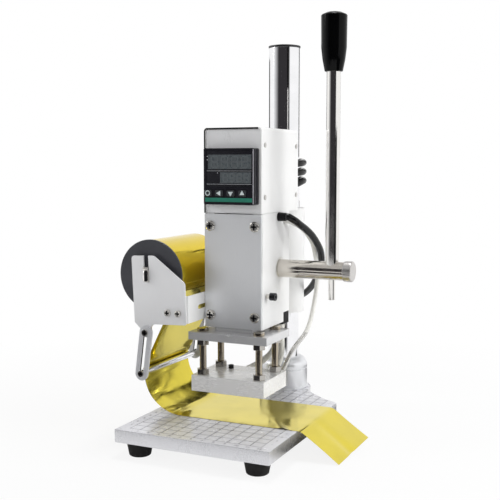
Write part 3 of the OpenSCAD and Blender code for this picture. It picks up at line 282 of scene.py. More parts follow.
class Finish:
    """A node material: one shader and the textures that feed it, on Object coordinates."""

    def __init__(self, name, base, rough, metal=0.0, shine=0.5, coat=0.0, glow=0.0):
        self.material = bpy.data.materials.new(name)
        self.material.use_nodes = True
        self.material.diffuse_color = (*base, 1)
        self.tree = self.material.node_tree
        self.shader = self.tree.nodes["Principled BSDF"]
        for key, value in (
                ("Base Color", (*base, 1)), ("Roughness", rough), ("Metallic", metal),
                ("Specular IOR Level", shine), ("Coat Weight", coat), ("Emission Strength", glow)):
            self.shader.inputs[key].default_value = value
        self.base = base
        self.normal = None
        self.coords = self.add("ShaderNodeTexCoord").outputs["Object"]

    def add(self, kind, inputs=None, **values):
        """A new node of this finish."""
        return add_node(self.tree, kind, inputs, **values)

    def feed(self, socket, source):
        """Drives one of the shader's sockets."""
        self.tree.links.new(source, self.shader.inputs[socket])

    def show(self, source):
        """Makes another node's shader the surface."""
        self.tree.links.new(source, self.tree.nodes["Material Output"].inputs["Surface"])

    def cloud(self, scale, detail=3.0, stretch=(1, 1, 1)):
        """Noise with this many spots to a metre, drawn out where the stretch is under one."""
        place = self.add("ShaderNodeMapping", {"Vector": self.coords, "Scale": stretch})
        return self.add("ShaderNodeTexNoise", {
            "Vector": place.outputs["Vector"], "Scale": scale, "Detail": detail}).outputs["Fac"]

    def bands(self, scale, axis, distort=0.0):
        """Regular bands along one axis."""
        inputs = {"Vector": self.coords, "Scale": scale, "Distortion": distort}
        return self.add(
            "ShaderNodeTexWave", inputs, wave_type="BANDS", bands_direction=axis).outputs["Fac"]

    def plait(self, scale, distort):
        """Fine crossing bands."""
        return self.math(
            "MULTIPLY", self.bands(scale, "DIAGONAL"), self.bands(scale, "Z", distort))

    def span(self, value, low, high, source=(0.3, 0.7)):
        """A value mapped from one range to another."""
        return self.add("ShaderNodeMapRange", {
            "Value": value, "From Min": source[0], "From Max": source[1],
            "To Min": low, "To Max": high}).outputs["Result"]

    def dull(self, low, high, *spots):
        """Roughness that drifts between two values."""
        self.feed("Roughness", self.span(self.cloud(*spots), low, high))

    def math(self, operation, first, second):
        """Two values through one sum; either may be a plain number."""
        made = self.add("ShaderNodeMath", {0: first, 1: second}, operation=operation)
        return made.outputs["Value"]

    def axis(self, name):
        """One Object coordinate."""
        return self.add("ShaderNodeSeparateXYZ", {"Vector": self.coords}).outputs[name]

    def tint(self, value, stops):
        """A colour ramp."""
        made = self.add("ShaderNodeValToRGB", {"Fac": value})
        ramp = made.color_ramp
        while len(ramp.elements) < len(stops):
            ramp.elements.new(0.5)
        for element, (place, shade) in zip(ramp.elements, stops):
            element.position = place
            element.color = (*shade, 1)
        return made.outputs["Color"]

    def shade(self, depth, value, spread=(0.3, 0.7)):
        """Colour that varies from a darker to the full base colour."""
        result = self.tint(
            value, [(spread[0], scaled(self.base, 1 - depth)), (spread[1], self.base)])
        self.feed("Base Color", result)
        return result

    def over(self, mask, under, top):
        """A second colour laid over the first where the mask is one."""
        inputs = {"Factor": mask, 6: under, 7: (*top, 1)}
        self.feed("Base Color", self.add("ShaderNodeMix", inputs, data_type="RGBA").outputs[2])

    def bump(self, height, depth, strength):
        """Relief of this depth in metres."""
        inputs = {"Distance": depth, "Strength": strength, "Height": height}
        if self.normal:
            inputs["Normal"] = self.normal
        self.normal = self.add("ShaderNodeBump", inputs).outputs["Normal"]
        self.feed("Normal", self.normal)


def coat(name, base, rough, clouds, drift, *reliefs, spread=(0.3, 0.7), **shader):
    """A finish with clouds in its colour, drift in its roughness and any number of reliefs."""
    made = Finish(name, base, rough, **shader)
    depth, *spots = clouds
    made.shade(depth, made.cloud(*spots), spread)
    if drift:
        down, up, *spots = drift
        made.dull(rough - down, rough + up, *spots)
    for depth, strength, *spots in reliefs:
        made.bump(made.cloud(*spots), depth, strength)
    return made.material


def plated_metal(name, base, rough, wear=0.05):
    """Polished plating with handling marks."""
    smears = (rough * 0.4, wear, 120, 5, (1, 1, 0.25))
    return coat(name, base, rough, (0.06, 70, 4), smears, (0.000003, 0.3, 700, 2), metal=1.0)


def moulded_plastic(name, base, rough, grain=0.00002, shine=0.5):
    """Moulded plastic with a fine texture and dull patches."""
    patches = (0.03, 0.06, 110, 3)
    return coat(name, base, rough, (0.25, 60, 4), patches, (grain, 0.6, 2600, 2), shine=shine)


def printed(name, base, rough=0.5):
    """Flat print with a little unevenness."""
    return coat(name, base, rough, (0.18, 700, 3), (0.08, 0.08, 400, 2))


def satin_metal(name, base, rough, grain=(1, 1, 1), metal=1.0, depth=0.12):
    """Metal with a fine drawn grain and a slightly cloudy surface."""
    made = Finish(name, base, rough, metal)
    lines = made.cloud(3200, 3, grain)
    made.shade(depth, lines, (0.25, 0.75))
    clouds = made.math("MULTIPLY", made.cloud(45, 4), lines)
    made.feed("Roughness", made.span(clouds, rough - 0.03, rough + 0.05, (0.1, 0.5)))
    made.bump(lines, 0.000001, 0.5)
    return made.material


def rubber(name, base):
    """Moulded rubber with dusty patches."""
    made = Finish(name, base, 0.62, shine=0.2)
    dust = made.cloud(180, 5)
    made.feed("Base Color", made.tint(
        dust, [(0.35, base), (0.75, tuple(c * 1.7 + 0.003 for c in base))]))
    made.feed("Roughness", made.span(dust, 0.52, 0.75))
    made.bump(made.cloud(1400, 3), 0.00005, 0.5)
    return made.material


# Metres: the grid's half width, reach in front of the head, line at its border and depth
GRID_SIDE, GRID_FRONT, GRID_BORDER, GRID_DEEP = 0.0602, 0.0725, 0.0003, 0.0001


def printed_table(name, sizes, colours):
    """Satin anodised plate with a printed grid on its top face."""
    made = Finish(name, tuple(colours.table), 0.30, 0.3)
    under = made.shade(0.05, made.cloud(700, 3, (0.06, 1, 1)))
    centre = at(0, 0, 0)
    rows = []
    for axis_name, origin in (("X", centre.x), ("Y", centre.y - GRID_FRONT)):
        offset = made.math("SUBTRACT", made.axis(axis_name), origin)
        near = made.math("PINGPONG", offset, sizes.grid_pitch / 2)
        rows.append(made.math("LESS_THAN", near, sizes.grid_line / 2))
    lines = made.math("MAXIMUM", *rows)
    edges = (
        ("X", "GREATER_THAN", centre.x - GRID_SIDE), ("X", "LESS_THAN", centre.x + GRID_SIDE),
        ("Y", "GREATER_THAN", centre.y - GRID_FRONT - GRID_BORDER),
        ("Z", "GREATER_THAN", TABLE_Z - GRID_DEEP),
    )
    for axis_name, side, limit in edges:
        lines = made.math("MULTIPLY", lines, made.math(side, made.axis(axis_name), limit))
    worn = made.math("MULTIPLY", lines, made.span(made.cloud(130, 4), 0.65, 0.95))
    made.over(worn, under, tuple(colours.print_ink))
    made.dull(0.22, 0.31, 60, 4)
    return made.material


def woven_sleeve(name, base):
    """Woven glass sleeve: fine diagonal plaits."""
    made = Finish(name, base, 0.7)
    plait = made.plait(420, 1.5)
    made.shade(0.28, plait, (0.0, 0.6))
    made.dull(0.6, 0.82, 300, 3)
    made.bump(plait, 0.00018, 0.8)
    return made.material


def sensor_finish(name, sleeve_end):
    """White sleeve above, a plaited steel sheath below."""
    made = Finish(name, (0.72, 0.71, 0.68), 0.4)
    upper = made.math("GREATER_THAN", made.axis("Z"), sleeve_end)
    plait = made.plait(520, 1.0)
    steel = made.tint(plait, [(0.0, (0.66, 0.65, 0.63)), (0.7, (0.90, 0.89, 0.86))])
    made.over(upper, steel, (0.74, 0.735, 0.70))
    made.feed("Metallic", made.span(upper, 0.75, 0.0, (0, 1)))
    made.dull(0.22, 0.36, 200, 3)
    relief = made.math("MULTIPLY", plait, made.span(upper, 1.0, 0.08, (0, 1)))
    made.bump(relief, 0.00004, 0.6)
    return made.material


# Leads: routes in millimetres from the head's middle, its front face and the table

POWER_ROUTE = (
    (34.85, 37, 172.6), (36.85, 37, 172.6), (39.5, 39.3, 170.7), (42, 42.8, 168.2),
    (44.3, 47.5, 164.8), (47, 54, 160.6), (49.5, 62, 154.8), (51, 71, 147.2),
    (51.2, 80, 138.8), (48.5, 90, 129), (42.6, 101, 118.4), (34.2, 113, 107.6),
    (24, 125.5, 97.5), (13, 136, 89.8), (2, 141, 86), (-10, 140, 86.5),
    (-19.5, 133.5, 91.5), (-25, 124, 101.5), (-26, 116.5, 115.5), (-25.2, 113.5, 132),
    (-24.6, 112.5, 150), (-24.6, 111.5, 166), (-22.8, 107.4, 180), (-18, 102, 188.4),
)
WINDING_R, WINDING_LOW, WINDING_PITCH, WINDING_DROP = 18.75, 202.5, 8.7, 8.0
WINDING_FROM, WINDING_TO, WINDING_STEP = -100, 900, 6
WINDING_TAIL = (105, 94.9, 88.4)
SENSOR_ROUTE = (
    (26.4, 50, 168), (27.85, 50, 168), (31.5, 52, 167.4), (35, 56, 165.4), (38.6, 62, 161.8),
    (41.6, 68.6, 156), (43.6, 75.6, 149), (44.8, 79.6, 142), (45.3, 80.2, 138.5),
    (45.7, 80.8, 135), (46.1, 82, 131), (46.9, 83.8, 121), (47, 83, 110.5), (46.1, 80, 95.2),
    (44.2, 75, 77), (42, 68, 65), (38.3, 60, 57.2), (34.8, 52.6, 50), (31.8, 48.6, 42),
    (29.3, 47, 34.8), (27.2, 45.6, 30), (26, 43.4, 27.5), (26, 40.65, 27.5),
)
SENSOR_BEND = (46, 81, 135), (28, 46, 32)
SLEEVE_END = 65
HEATER_BEND = (18, 55, 32), (20, 54, 71)
HEATER_ROUTES = {
    "heater_lead_left": (
        (-14, 38.25, 27.5), (-14, 40.95, 27.5), (-12.5, 47, 28), (-6, 54, 31), (3.5, 59, 37),
        (11.5, 61, 46), (16.2, 59, 57), (17.5, 56.4, 66), (17.6, 55.4, 72.825),
        (17.6, 55.4, 79.1),
    ),
    "heater_lead_right": (
        (14, 38.25, 27.5), (14, 40.95, 27.5), (14.8, 45.5, 28), (18, 51, 31.5),
        (21.6, 53.8, 39), (23.4, 54.2, 49), (23.6, 53.7, 59), (23.6, 53.4, 67),
        (23.6, 53.4, 72.825), (23.6, 53.4, 79.1),
    ),
}


def smooth_route(spots, steps, *more):
    """One smooth curve through these spots and any further points."""
    points = [at(*spot) for spot in spots] + list(more)
    ends = [2 * points[0] - points[1], *points, 2 * points[-1] - points[-2]]
    route = []
    for a, b, c, d in zip(ends, ends[1:], ends[2:], ends[3:]):
        for i in range(steps):
            t = i / steps
            route.append(0.5 * (
                2 * b + (c - a) * t + (2 * a - 5 * b + 4 * c - d) * t ** 2
                + (3 * b - a - 3 * c + d) * t ** 3))
    return route + [points[-1]]


def tube(name, route, diameter):
    """A round lead along a route, as a closed mesh."""
    clear_selection()
    curve = bpy.data.curves.new(name, "CURVE")
    curve.dimensions = "3D"
    spline = curve.splines.new("POLY")
    spline.points.add(len(route) - 1)
    for point, place in zip(spline.points, route):
        point.co = (*place, 1)
    curve.bevel_depth = diameter / 2
    curve.bevel_resolution = 4
    curve.use_fill_caps = True
    piece = bpy.data.objects.new(name, curve)
    bpy.context.scene.collection.objects.link(piece)
    pick(piece)
    bpy.ops.object.convert(target="MESH")
    piece = name_piece(name)
    with editing(piece):
        bpy.ops.mesh.remove_doubles(threshold=SAME_POINT / 2)
        bpy.ops.mesh.normals_make_consistent(inside=False)
    bpy.ops.object.shade_smooth_by_angle(angle=SMOOTH_TO)
    return piece


def bend(piece, body_a, body_b, spots):
    """Puts the piece's place into its mesh."""
    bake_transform(piece)


def winding_route():
    """The turns round the column, from below, and the run into the rear gland."""
    route = []
    for angle in range(WINDING_FROM, WINDING_TO + 1, WINDING_STEP):
        turn = math.radians(angle)
        rise = WINDING_DROP * angle / 90 if angle < 0 else WINDING_PITCH * angle / 360
        route.append(at(
            WINDING_R * math.cos(turn), COLUMN_FROM_FACE + WINDING_R * math.sin(turn),
            WINDING_LOW + rise))
    return route + [at(-WINDING_R, y, WINDING_LOW + rise) for y in WINDING_TAIL]


class FOIL_PRESS_OT_leads(bpy.types.Operator):
    """Lays the black power lead, the sensor lead and the heater sleeves"""

    bl_idname = "foil_press.leads"
    bl_label = "Leads"

    def execute(self, context):
        sizes = context.scene.press_sizes
        turns = winding_route()
        jacket = moulded_plastic(
            "lead_jacket", scaled(context.scene.press_colours.black, 0.15), 0.1, 0.000002, 0.4)
        power = smooth_route(POWER_ROUTE, 5, turns[0])[:-1] + turns
        self.lead(
            "power_lead_made", power, sizes.power_lead, jacket, "lead_black",
            ("power_lead", "lead_winding"), ("head",), stiffness="medium", lay="coiled")

        sheath = sensor_finish("sensor_sleeve", at(0, 0, SLEEVE_END).z)
        sensor = smooth_route(SENSOR_ROUTE, 5)
        self.lead(
            "sensor_lead_made", sensor, sizes.sensor_lead, sheath, "sensor_white",
            ("sensor_lead",), ("head", "ram", SENSOR_BEND), stiffness="medium", lay="hanging")

        sleeve = woven_sleeve("glass_sleeve", (0.93, 0.92, 0.87))
        nodes = ("heater_leads",)
        for name, spots in HEATER_ROUTES.items():
            self.lead(
                name, smooth_route(spots, 6), sizes.heater_lead, sleeve, "heater_sleeve", nodes,
                ("ram", "head", HEATER_BEND), stiffness="limp", lay="hanging")
            nodes = ()
        return {"FINISHED"}

    @staticmethod
    def lead(name, route, diameter, finish, slot, nodes, bodies, **kind):
        """One lead with both of its ends on the press, which rides with its body when it has only
        one.
        """
        piece = tube(name, route, diameter)
        paint(piece, finish)
        if nodes:
            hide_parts(*nodes)
        if len(bodies) > 1:
            bend(piece, *bodies)
        else:
            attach(piece, *bodies)


# Foil: places in millimetres, as x and height over the table

ROLL_AXIS = (-67.331, 146.256 - TABLE_RISE)
ROD_AXIS = (-72.42, 60.11 - TABLE_RISE)
ROLL_CLEAR, ROD_CLEAR = 30.95, 3.55
FOIL_UP = 0.15
FLAT_END, TAIL_BEND_R, TAIL_LEAN = 70.0, 9.0, 35
FLOOR_UP = 0.3 - TABLE_RISE
TAIL_END = (106.2, FLOOR_UP)
FOIL_MID_Y = 17.1
FOIL_BEND = (-60, 17, 2), (-60, 17, 86)


def foil_line():
    """The web's middle line from the roll to its cut end, as (x, height) in millimetres."""
    gap = math.dist(ROLL_AXIS, ROD_AXIS)
    lean = math.atan2(ROD_AXIS[1] - ROLL_AXIS[1], ROD_AXIS[0] - ROLL_AXIS[0])
    lean += math.acos((ROLL_CLEAR + ROD_CLEAR) / gap)

    def arc(centre, radius, start, end, steps):
        for i in range(steps + 1):
            angle = start + (end - start) * i / steps
            yield centre[0] + radius * math.cos(angle), centre[1] + radius * math.sin(angle)

    line = [(
        ROLL_AXIS[0] + ROLL_CLEAR * math.cos(lean), ROLL_AXIS[1] + ROLL_CLEAR * math.sin(lean))]
    line += arc(ROD_AXIS, ROD_CLEAR, lean + math.pi, math.pi, 4)
    sweep = ROD_AXIS[1] - FOIL_UP
    line += arc((ROD_AXIS[0] - ROD_CLEAR + sweep, ROD_AXIS[1]), sweep, math.pi, 1.5 * math.pi, 24)
    line.append((FLAT_END, FOIL_UP))
    line += arc(
        (FLAT_END, FOIL_UP - TAIL_BEND_R), TAIL_BEND_R, math.pi / 2,
        math.pi / 2 - math.radians(TAIL_LEAN), 6)
    line.append(TAIL_END)
    return [Vector(point) for point in line]


def even_line(line, steps):
    """The same line in even steps."""
    marks = [0.0]
    for a, b in zip(line, line[1:]):
        marks.append(marks[-1] + (b - a).length)
    result, k = [], 0
    for i in range(steps + 1):
        want = marks[-1] * i / steps
        while k < len(line) - 2 and marks[k + 1] < want:
            k += 1
        step = marks[k + 1] - marks[k]
        result.append(line[k].lerp(line[k + 1], (want - marks[k]) / step if step else 0))
    return result, marks[-1]


class FOIL_PRESS_OT_foil(bpy.types.Operator):
    """Draws the gold web from the roll round the guide rod and over the table"""

    bl_idname = "foil_press.foil"
    bl_label = "Foil web"

    along, across = 220, 48
    # Scale and start of the noise in broad folds and in fine ones
    broad = (0.017, 0.016, 0.022), (0, 0, 4.2)
    narrow = (0.11, 0.07, 0.11), (9, 0, 0)
    # Shares of the run: the folded sweep's middle and half reach, the rise's end, the tail's start
    sweep_mid, sweep_reach, rise_end, tail_start = 0.36, 0.12, 0.3, 0.84
    # Millimetres: the dent in the tail, the rolled near edge and sag of the rise, the flat's curl
    dent_depth, dent_edge, dent_width = 1.1, 34, 7
    rim_roll, rim_width, rise_sag = 1.3, 3.2, 2.5
    curl_height, curl_x, curl_width, curl_reach, flat_waves = 1.3, 57, 4.5, 9, 0.05

    def execute(self, context):
        sizes = context.scene.press_sizes
        line, run = even_line(foil_line(), self.along)
        clear_selection()
        bpy.ops.mesh.primitive_grid_add(
            x_subdivisions=self.along, y_subdivisions=self.across, size=1, location=(0, 0, 0))
        web = name_piece("foil_web_made")
        for vertex in web.data.vertices:
            i = round((vertex.co.x + 0.5) * self.along)
            vertex.co = self.point(line, i, vertex.co.y, sizes)
        apply_modifier(web, "SOLIDIFY", thickness=sizes.foil_thickness, offset=0)
        pick(web)
        bpy.ops.object.shade_smooth_by_angle(angle=FOIL_SMOOTH_TO)
        paint(web, coat(
            "web_gold", tuple(context.scene.press_colours.foil), 0.09, (0.10, 30, 4),
            (0.027, 0.07, 90, 4), (0.00012, 0.6, 55, 2, (1.0, 0.35, 1.0)),
            (0.000006, 0.5, 900, 2, (0.05, 1, 1)), spread=(0.35, 0.65), metal=0.94, shine=0.2))
        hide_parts("foil_web")
        bend(web, "base", "head", FOIL_BEND)
        return {"FINISHED"}

    def point(self, line, i, side, sizes):
        """A point of the web: its place on the line, pushed out along the normal by the folds."""
        before, here, after = line[max(i - 1, 0)], line[i], line[min(i + 1, len(line) - 1)]
        way = (after - before).normalized()
        out = Vector((-way.y, way.x))
        y = FOIL_MID_Y + side * sizes.foil_width / MM
        fold, fine = (
            noise.noise(Vector([p * s + o for p, s, o in zip((here.x, y, here.y), scale, start)]))
            for scale, start in (self.broad, self.narrow))
        edge = y - FOIL_MID_Y + sizes.foil_width / MM / 2
        share = i / (len(line) - 1)
        sweep = max(0.0, 1 - abs(share - self.sweep_mid) / self.sweep_reach)
        tail = max(0.0, (share - self.tail_start) / (1 - self.tail_start))
        lift = sizes.foil_ripple / MM * (sweep * (fold + 0.02 * fine) + 0.9 * tail * fold)
        lift -= self.dent_depth * tail * math.exp(-((edge - self.dent_edge) / self.dent_width) ** 2)
        rise = share / self.rise_end
        if rise < 1:
            lift -= self.rim_roll * math.exp(-edge / self.rim_width)
            lift -= self.rise_sag * rise * (1 - rise)
        if here.y < 1 and here.x < FLAT_END:
            from_curl = (here.x - self.curl_x + 0.7 * edge) / self.curl_width
            curl = math.exp(-from_curl ** 2 - edge / self.curl_reach)
            waves = self.flat_waves * (0.5 + 0.5 * fine)
            lift = max(lift, 0.0) + waves + self.curl_height * curl
        return at(here.x + out.x * lift, y, max(here.y + out.y * lift, FLOOR_UP))


# Finished copies of the solids

def dressed(sizes, colours):
    """The finishes of the solids, with their nodes and each node's rounded edge in millimetres."""
    black = tuple(colours.black)
    return (
        (printed_table("table_print", sizes, colours), {"base_plate": 0.7}),
        (satin_metal("table_sides", (0.80, 0.80, 0.83), 0.26, (1, 1, 0.05), 0.9, 0.03), {}),
        (rubber("foot_rubber", tuple(colours.rubber)), {
            "rubber_feet": 0.6, "heater_grommet": 0.3}),
        (plated_metal("bright_zinc", tuple(colours.bright_zinc), 0.16, 0.12), {
            "foot_screws": 0, "front_cover_screws": 0.2, "bracket_screws": 0.2,
            "side_plate_screws": 0.2, "arm_pivot_screws": 0.2, "roll_axle": 0.2,
            "cartridge_heaters": 0.2, "sensor_probe": 0.2, "guide_screws": 0.2}),
        (plated_metal("column_chrome", tuple(colours.chrome), 0.07), {
            "column": 0.3, "guide_rod": 0.3}),
        (plated_metal("lever_chrome", (0.90, 0.885, 0.86), 0.10), {"lever_rod": 0.3}),
        (plated_metal("turned_shaft", (0.76, 0.72, 0.66), 0.2), {"lever_shaft": 0.3}),
        (satin_metal("brushed_cap", (0.66, 0.64, 0.62), 0.34, (1, 1, 1), 0.9, 0.10), {
            "box_rivets": 0.15, "shaft_cap": 0.6}),
        (satin_metal("pressed_bush", (0.80, 0.79, 0.76), 0.42, (1, 1, 1), 0.6, 0.05), {
            "shaft_bushes": 0.15}),
        (moulded_plastic("flange_plastic", (0.045, 0.046, 0.055), 0.36, 0.000002), {
            "roll_flanges": 0.6}),
        (plated_metal("black_screw", (0.05, 0.05, 0.055), 0.3, 0.15), {
            "column_bolt": 0, "gib_screw": 0.2, "clamp_bolts": 0.3, "ram_screws": 0.2}),
        (satin_metal("foot_silver", (0.82, 0.83, 0.85), 0.33, (1, 1, 1), 0.7, 0.02), {
            "column_foot": 0.5}),
        (moulded_plastic("black_plastic", black, 0.34), {
            "column_cap": 0.3, "controller_case": 0.3, "mains_inlet": 0.3}),
        (moulded_plastic("knob_bakelite", scaled(black, 0.1), 0.09, 0.000001, 0.12), {
            "lever_knob": 0.4}),
        (moulded_plastic("bezel_plastic", (0.012, 0.0115, 0.016), 0.2, 0.00001, 0.3), {
            "controller_bezel": 0.6}),
        (coat("white_paint", tuple(colours.paint), 0.36, (0.05, 38, 4), (0.05, 0.07, 160, 3),
              (0.00002, 0.6, 1500, 2)), {
            "head_housing": 0.5, "control_box": 0.4, "foil_bracket": 0.25}),
        (satin_metal("satin_panel", tuple(colours.panel), 0.34, (1, 1, 0.04), 0.55, 0.03), {
            "front_cover": 0.3}),
        (satin_metal("box_front", (0.86, 0.86, 0.87), 0.30, (1, 1, 0.04), 0.15, 0.02), {
            "box_chassis": 0.3}),
        # Painted shade: a near-black for screw recesses, arm slots, the axle's tip and the box's
        # rim, where they lie in shadow
        (moulded_plastic("recess_black", (0.008, 0.008, 0.009), 0.5, 0.00001, 0.2), {}),
        (satin_metal("bush_bronze", (0.45, 0.29, 0.12), 0.3), {"gib_plate": 0}),
        (coat("smoked_lens", (0.012, 0.012, 0.016), 0.12, (0.3, 40, 2), (0.04, 0.08, 150, 4),
              coat=0.4), {"display_lens": 0.15}),
        (moulded_plastic("key_rubber", (0.022, 0.026, 0.03), 0.5), {
            "key_set": 0.3, "key_shift": 0.3, "key_down": 0.3, "key_up": 0.3}),
        (moulded_plastic("rocker_red", (0.42, 0.015, 0.012), 0.25, 0.00001), {
            "power_rocker": 0.4}),
        (moulded_plastic("gland_black", scaled(black, 0.2), 0.3, 0.00001, 0.16), {
            "lead_glands": 0.4}),
        (satin_metal("satin_sheet", tuple(colours.sheet), 0.40, (1, 1, 0.05), 0.3, 0.03), {
            "front_side_plate": 0.25, "rear_side_plate": 0.25}),
        (satin_metal("arm_steel", (0.77, 0.775, 0.80), 0.30, (1, 1, 0.05), 0.42, 0.03), {
            "guide_arms": 0.3}),
        (satin_metal("ground_plate", tuple(colours.plate), 0.24, (0.05, 1, 1), 0.55, 0.04), {
            "drive_pinion": 0, "rack_ram": 0.2, "upper_plate": 0.4}),
        (satin_metal("milled_block", (0.90, 0.895, 0.885), 0.27, (0.05, 1, 1), 0.32, 0.03), {
            "heater_block": 0.4}),
        (plated_metal("nut_zinc", (0.50, 0.48, 0.45), 0.13, 0.06), {"stud_nuts": 0.25}),
        # Nickel studs; their brown tint is a painted reflection of the gold foil
        (plated_metal("stud_nickel", (0.50, 0.44, 0.35), 0.17, 0.1), {"stud_bolts": 0.1}),
        (coat("roll_gold", (0.80, 0.60, 0.02), 0.12, (0.12, 26, 3, (1, 0.25, 1)),
              (0.05, 0.04, 70, 4), (0.0009, 0.5, 34, 2, (1.0, 0.12, 1.0)),
              spread=(0.35, 0.65), metal=0.9, shine=0.2), {"foil_roll": 0.2}),
        (coat("core_card", (0.33, 0.22, 0.12), 0.85, (0.3, 500, 4, (1, 0.2, 1)), None,
              (0.00005, 0.6, 1500, 3)), {"roll_core": 0.2}),
    )


class FOIL_PRESS_OT_finishes(bpy.types.Operator):
    """Rounds the edges of the solids and gives each its finish"""

    bl_idname = "foil_press.finishes"
    bl_label = "Edges and finishes"

    def execute(self, context):
        for finish, nodes in dressed(context.scene.press_sizes, context.scene.press_colours):
            for node, edge in nodes.items():
                paint(fitted_copy(node, edge) if edge else frame["nodes"][node], finish)
        self.spring()
        return {"FINISHED"}

    @staticmethod
    def spring():
        """The return spring as a fitted copy with a mesh of its own, riding with its body."""
        piece = fitted_copy("return_spring", 0)
        paint(piece, bpy.data.materials["bright_zinc"])
        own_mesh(piece)


# Small fasteners

class FOIL_PRESS_OT_fasteners(bpy.types.Operator):
    """Adds the set screw and the axle's tip, paints shade into screw recesses, arm slots, the
    axle's tip and the box's rim, and gives bare metal to the table's cut sides
    """

    bl_idname = "foil_press.fasteners"
    bl_label = "Fasteners"

    # Metres, but the set screw's spot and the rounded edges in millimetres
    head_r, head_h, socket_r, socket_deep = 0.0024, 0.0034, 0.0012, 0.00204
    head_spot, head_edge = (-14, 25.6, 34.5), 0.25
    cross_proud, cross_deep = 0.00006, 0.0004
    tip_r, tip_h, tip_edge = 0.0022, 0.0094, 1.4
    clip_y, clip_h, clip_gap, clip_edge = 0.0024, 0.0026, 0.0006, 0.5
    slot_from, rim, rim_deep, shank_from = 0.001, 0.003, 0.0004, 0.0053
    # Node: radius of the screw's head, length and width of its cross, in millimetres
    crosses = {
        "front_cover_screws": (4.5, 5.6, 1.7), "side_plate_screws": (2.9, 4.0, 1.3),
        "arm_pivot_screws": (2.9, 4.0, 1.3), "guide_screws": (2.9, 4.0, 1.3),
    }

    def execute(self, context):
        self.set_screw()
        for node, (radius, long, short) in self.crosses.items():
            self.cross(node, radius * MM, long * MM / 2, short * MM / 2)
        self.dark_slots(bpy.data.objects["guide_arms_made"])
        self.cut_sides(bpy.data.objects["base_plate_made"])
        self.axle_tip()
        self.box_rim(bpy.data.objects["control_box_made"])
        self.bright_shank(bpy.data.objects["gib_screw_made"])
        return {"FINISHED"}

    def set_screw(self):
        """The heater block's set screw with its socket."""
        clear_selection()
        place = at(*self.head_spot) + Vector((0, 0, self.head_h / 2))
        bpy.ops.mesh.primitive_cylinder_add(
            vertices=32, radius=self.head_r, depth=self.head_h, location=place)
        screw = settle(name_piece("heater_set_screw"))
        bpy.ops.object.mode_set(mode="EDIT")
        bpy.ops.mesh.select_all(action="DESELECT")
        bpy.ops.object.mode_set(mode="OBJECT")
        for face in screw.data.polygons:
            face.select = face.normal.z > 0.9
        bpy.ops.object.mode_set(mode="EDIT")
        bpy.ops.mesh.inset(thickness=self.head_r - self.socket_r)
        bpy.ops.mesh.extrude_region_move(
            TRANSFORM_OT_translate={"value": (0, 0, -self.socket_deep)})
        bpy.ops.object.mode_set(mode="OBJECT")
        soften(screw, self.head_edge)
        paint(screw, bpy.data.materials["black_screw"])
        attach(screw, "ram")

    def cross(self, node, radius, long, short):
        """Painted shade: a dark cross in each screw of a node that faces the front, standing for
        the shade in its recess.
        """
        low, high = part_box(node)
        spots = sorted({
            (round(x, 5), round(z, 5)) for x in (low.x + radius, high.x - radius)
            for z in (low.z + radius, high.z - radius)})
        bars = []
        for x, z in spots:
            for half_x, half_z in ((long, short), (short, long)):
                bars.append(block(
                    f"bar{len(bars)}", (x - half_x, low.y - self.cross_proud, z - half_z),
                    (x + half_x, low.y + self.cross_deep, z + half_z)))
        piece = join(node + "_recess", bars)
        paint(piece, bpy.data.materials["recess_black"])
        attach(piece, BODY_OF[node])

    def dark_slots(self, piece):
        """Painted shade on the inner wall of the guide arms' long slots, which lies in shadow."""
        low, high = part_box("guide_arms")
        start, end = low.x + self.slot_from, (low.x + high.x) / 2
        second_finish(
            piece, "recess_black",
            lambda face: face.normal.x > 0.5 and start < face.center.x < end)

    @staticmethod
    def cut_sides(piece):
        """Bare metal on the cut sides of the table."""
        second_finish(piece, "table_sides", lambda face: abs(face.normal.z) < 0.5)

    def axle_tip(self):
        """The rounded steel tip of the roll's axle and the clip over it; the tip's right half is
        painted shade for the dark slot beside it.
        """
        middle = front_middle("roll_axle")
        clear_selection()
        bpy.ops.mesh.primitive_cylinder_add(
            vertices=40, radius=self.tip_r, depth=self.tip_h, location=middle)
        tip = settle(name_piece("axle_tip"))
        soften(tip, self.tip_edge, 4)
        clip_low = middle + Vector((-self.tip_r, -self.clip_y / 2, self.tip_h / 2 + self.clip_gap))
        clip_size = Vector((2 * self.tip_r, self.clip_y, self.clip_h))
        clip = block("axle_clip", clip_low, clip_low + clip_size, self.clip_edge)
        for piece, finish in ((tip, "lever_chrome"), (clip, "bright_zinc")):
            paint(piece, bpy.data.materials[finish])
            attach(piece, "head")
        # Painted shade: the tip's right half goes black
        second_finish(tip, "recess_black", lambda face: face.center.x > middle.x)

    def box_rim(self, piece):
        """Painted shade on the cut edge of the box's white sheet, on its left and top only, where
        it lies in shadow.
        """
        low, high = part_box("control_box")
        front, end = low.y + self.rim_deep, high.x - self.rim
        with editing(piece):
            bpy.ops.mesh.bisect(plane_co=(end, 0, 0), plane_no=(1, 0, 0))
        second_finish(
            piece, "recess_black",
            lambda face: face.normal.y < -0.8 and face.center.y < front and face.center.x < end)

    def bright_shank(self, piece):
        """Bright thread under the screw's black head."""
        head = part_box("gib_screw")[1].x - self.shank_from
        second_finish(piece, "bright_zinc", lambda face: face.center.x < head)


# Controller face

# Each bar's place across and up a figure, and whether it lies flat
SEGMENTS = (
    (0, 1, 1), (0, 0, 1), (0, -1, 1), (-1, 0.5, 0), (1, 0.5, 0), (-1, -0.5, 0), (1, -0.5, 0),
)


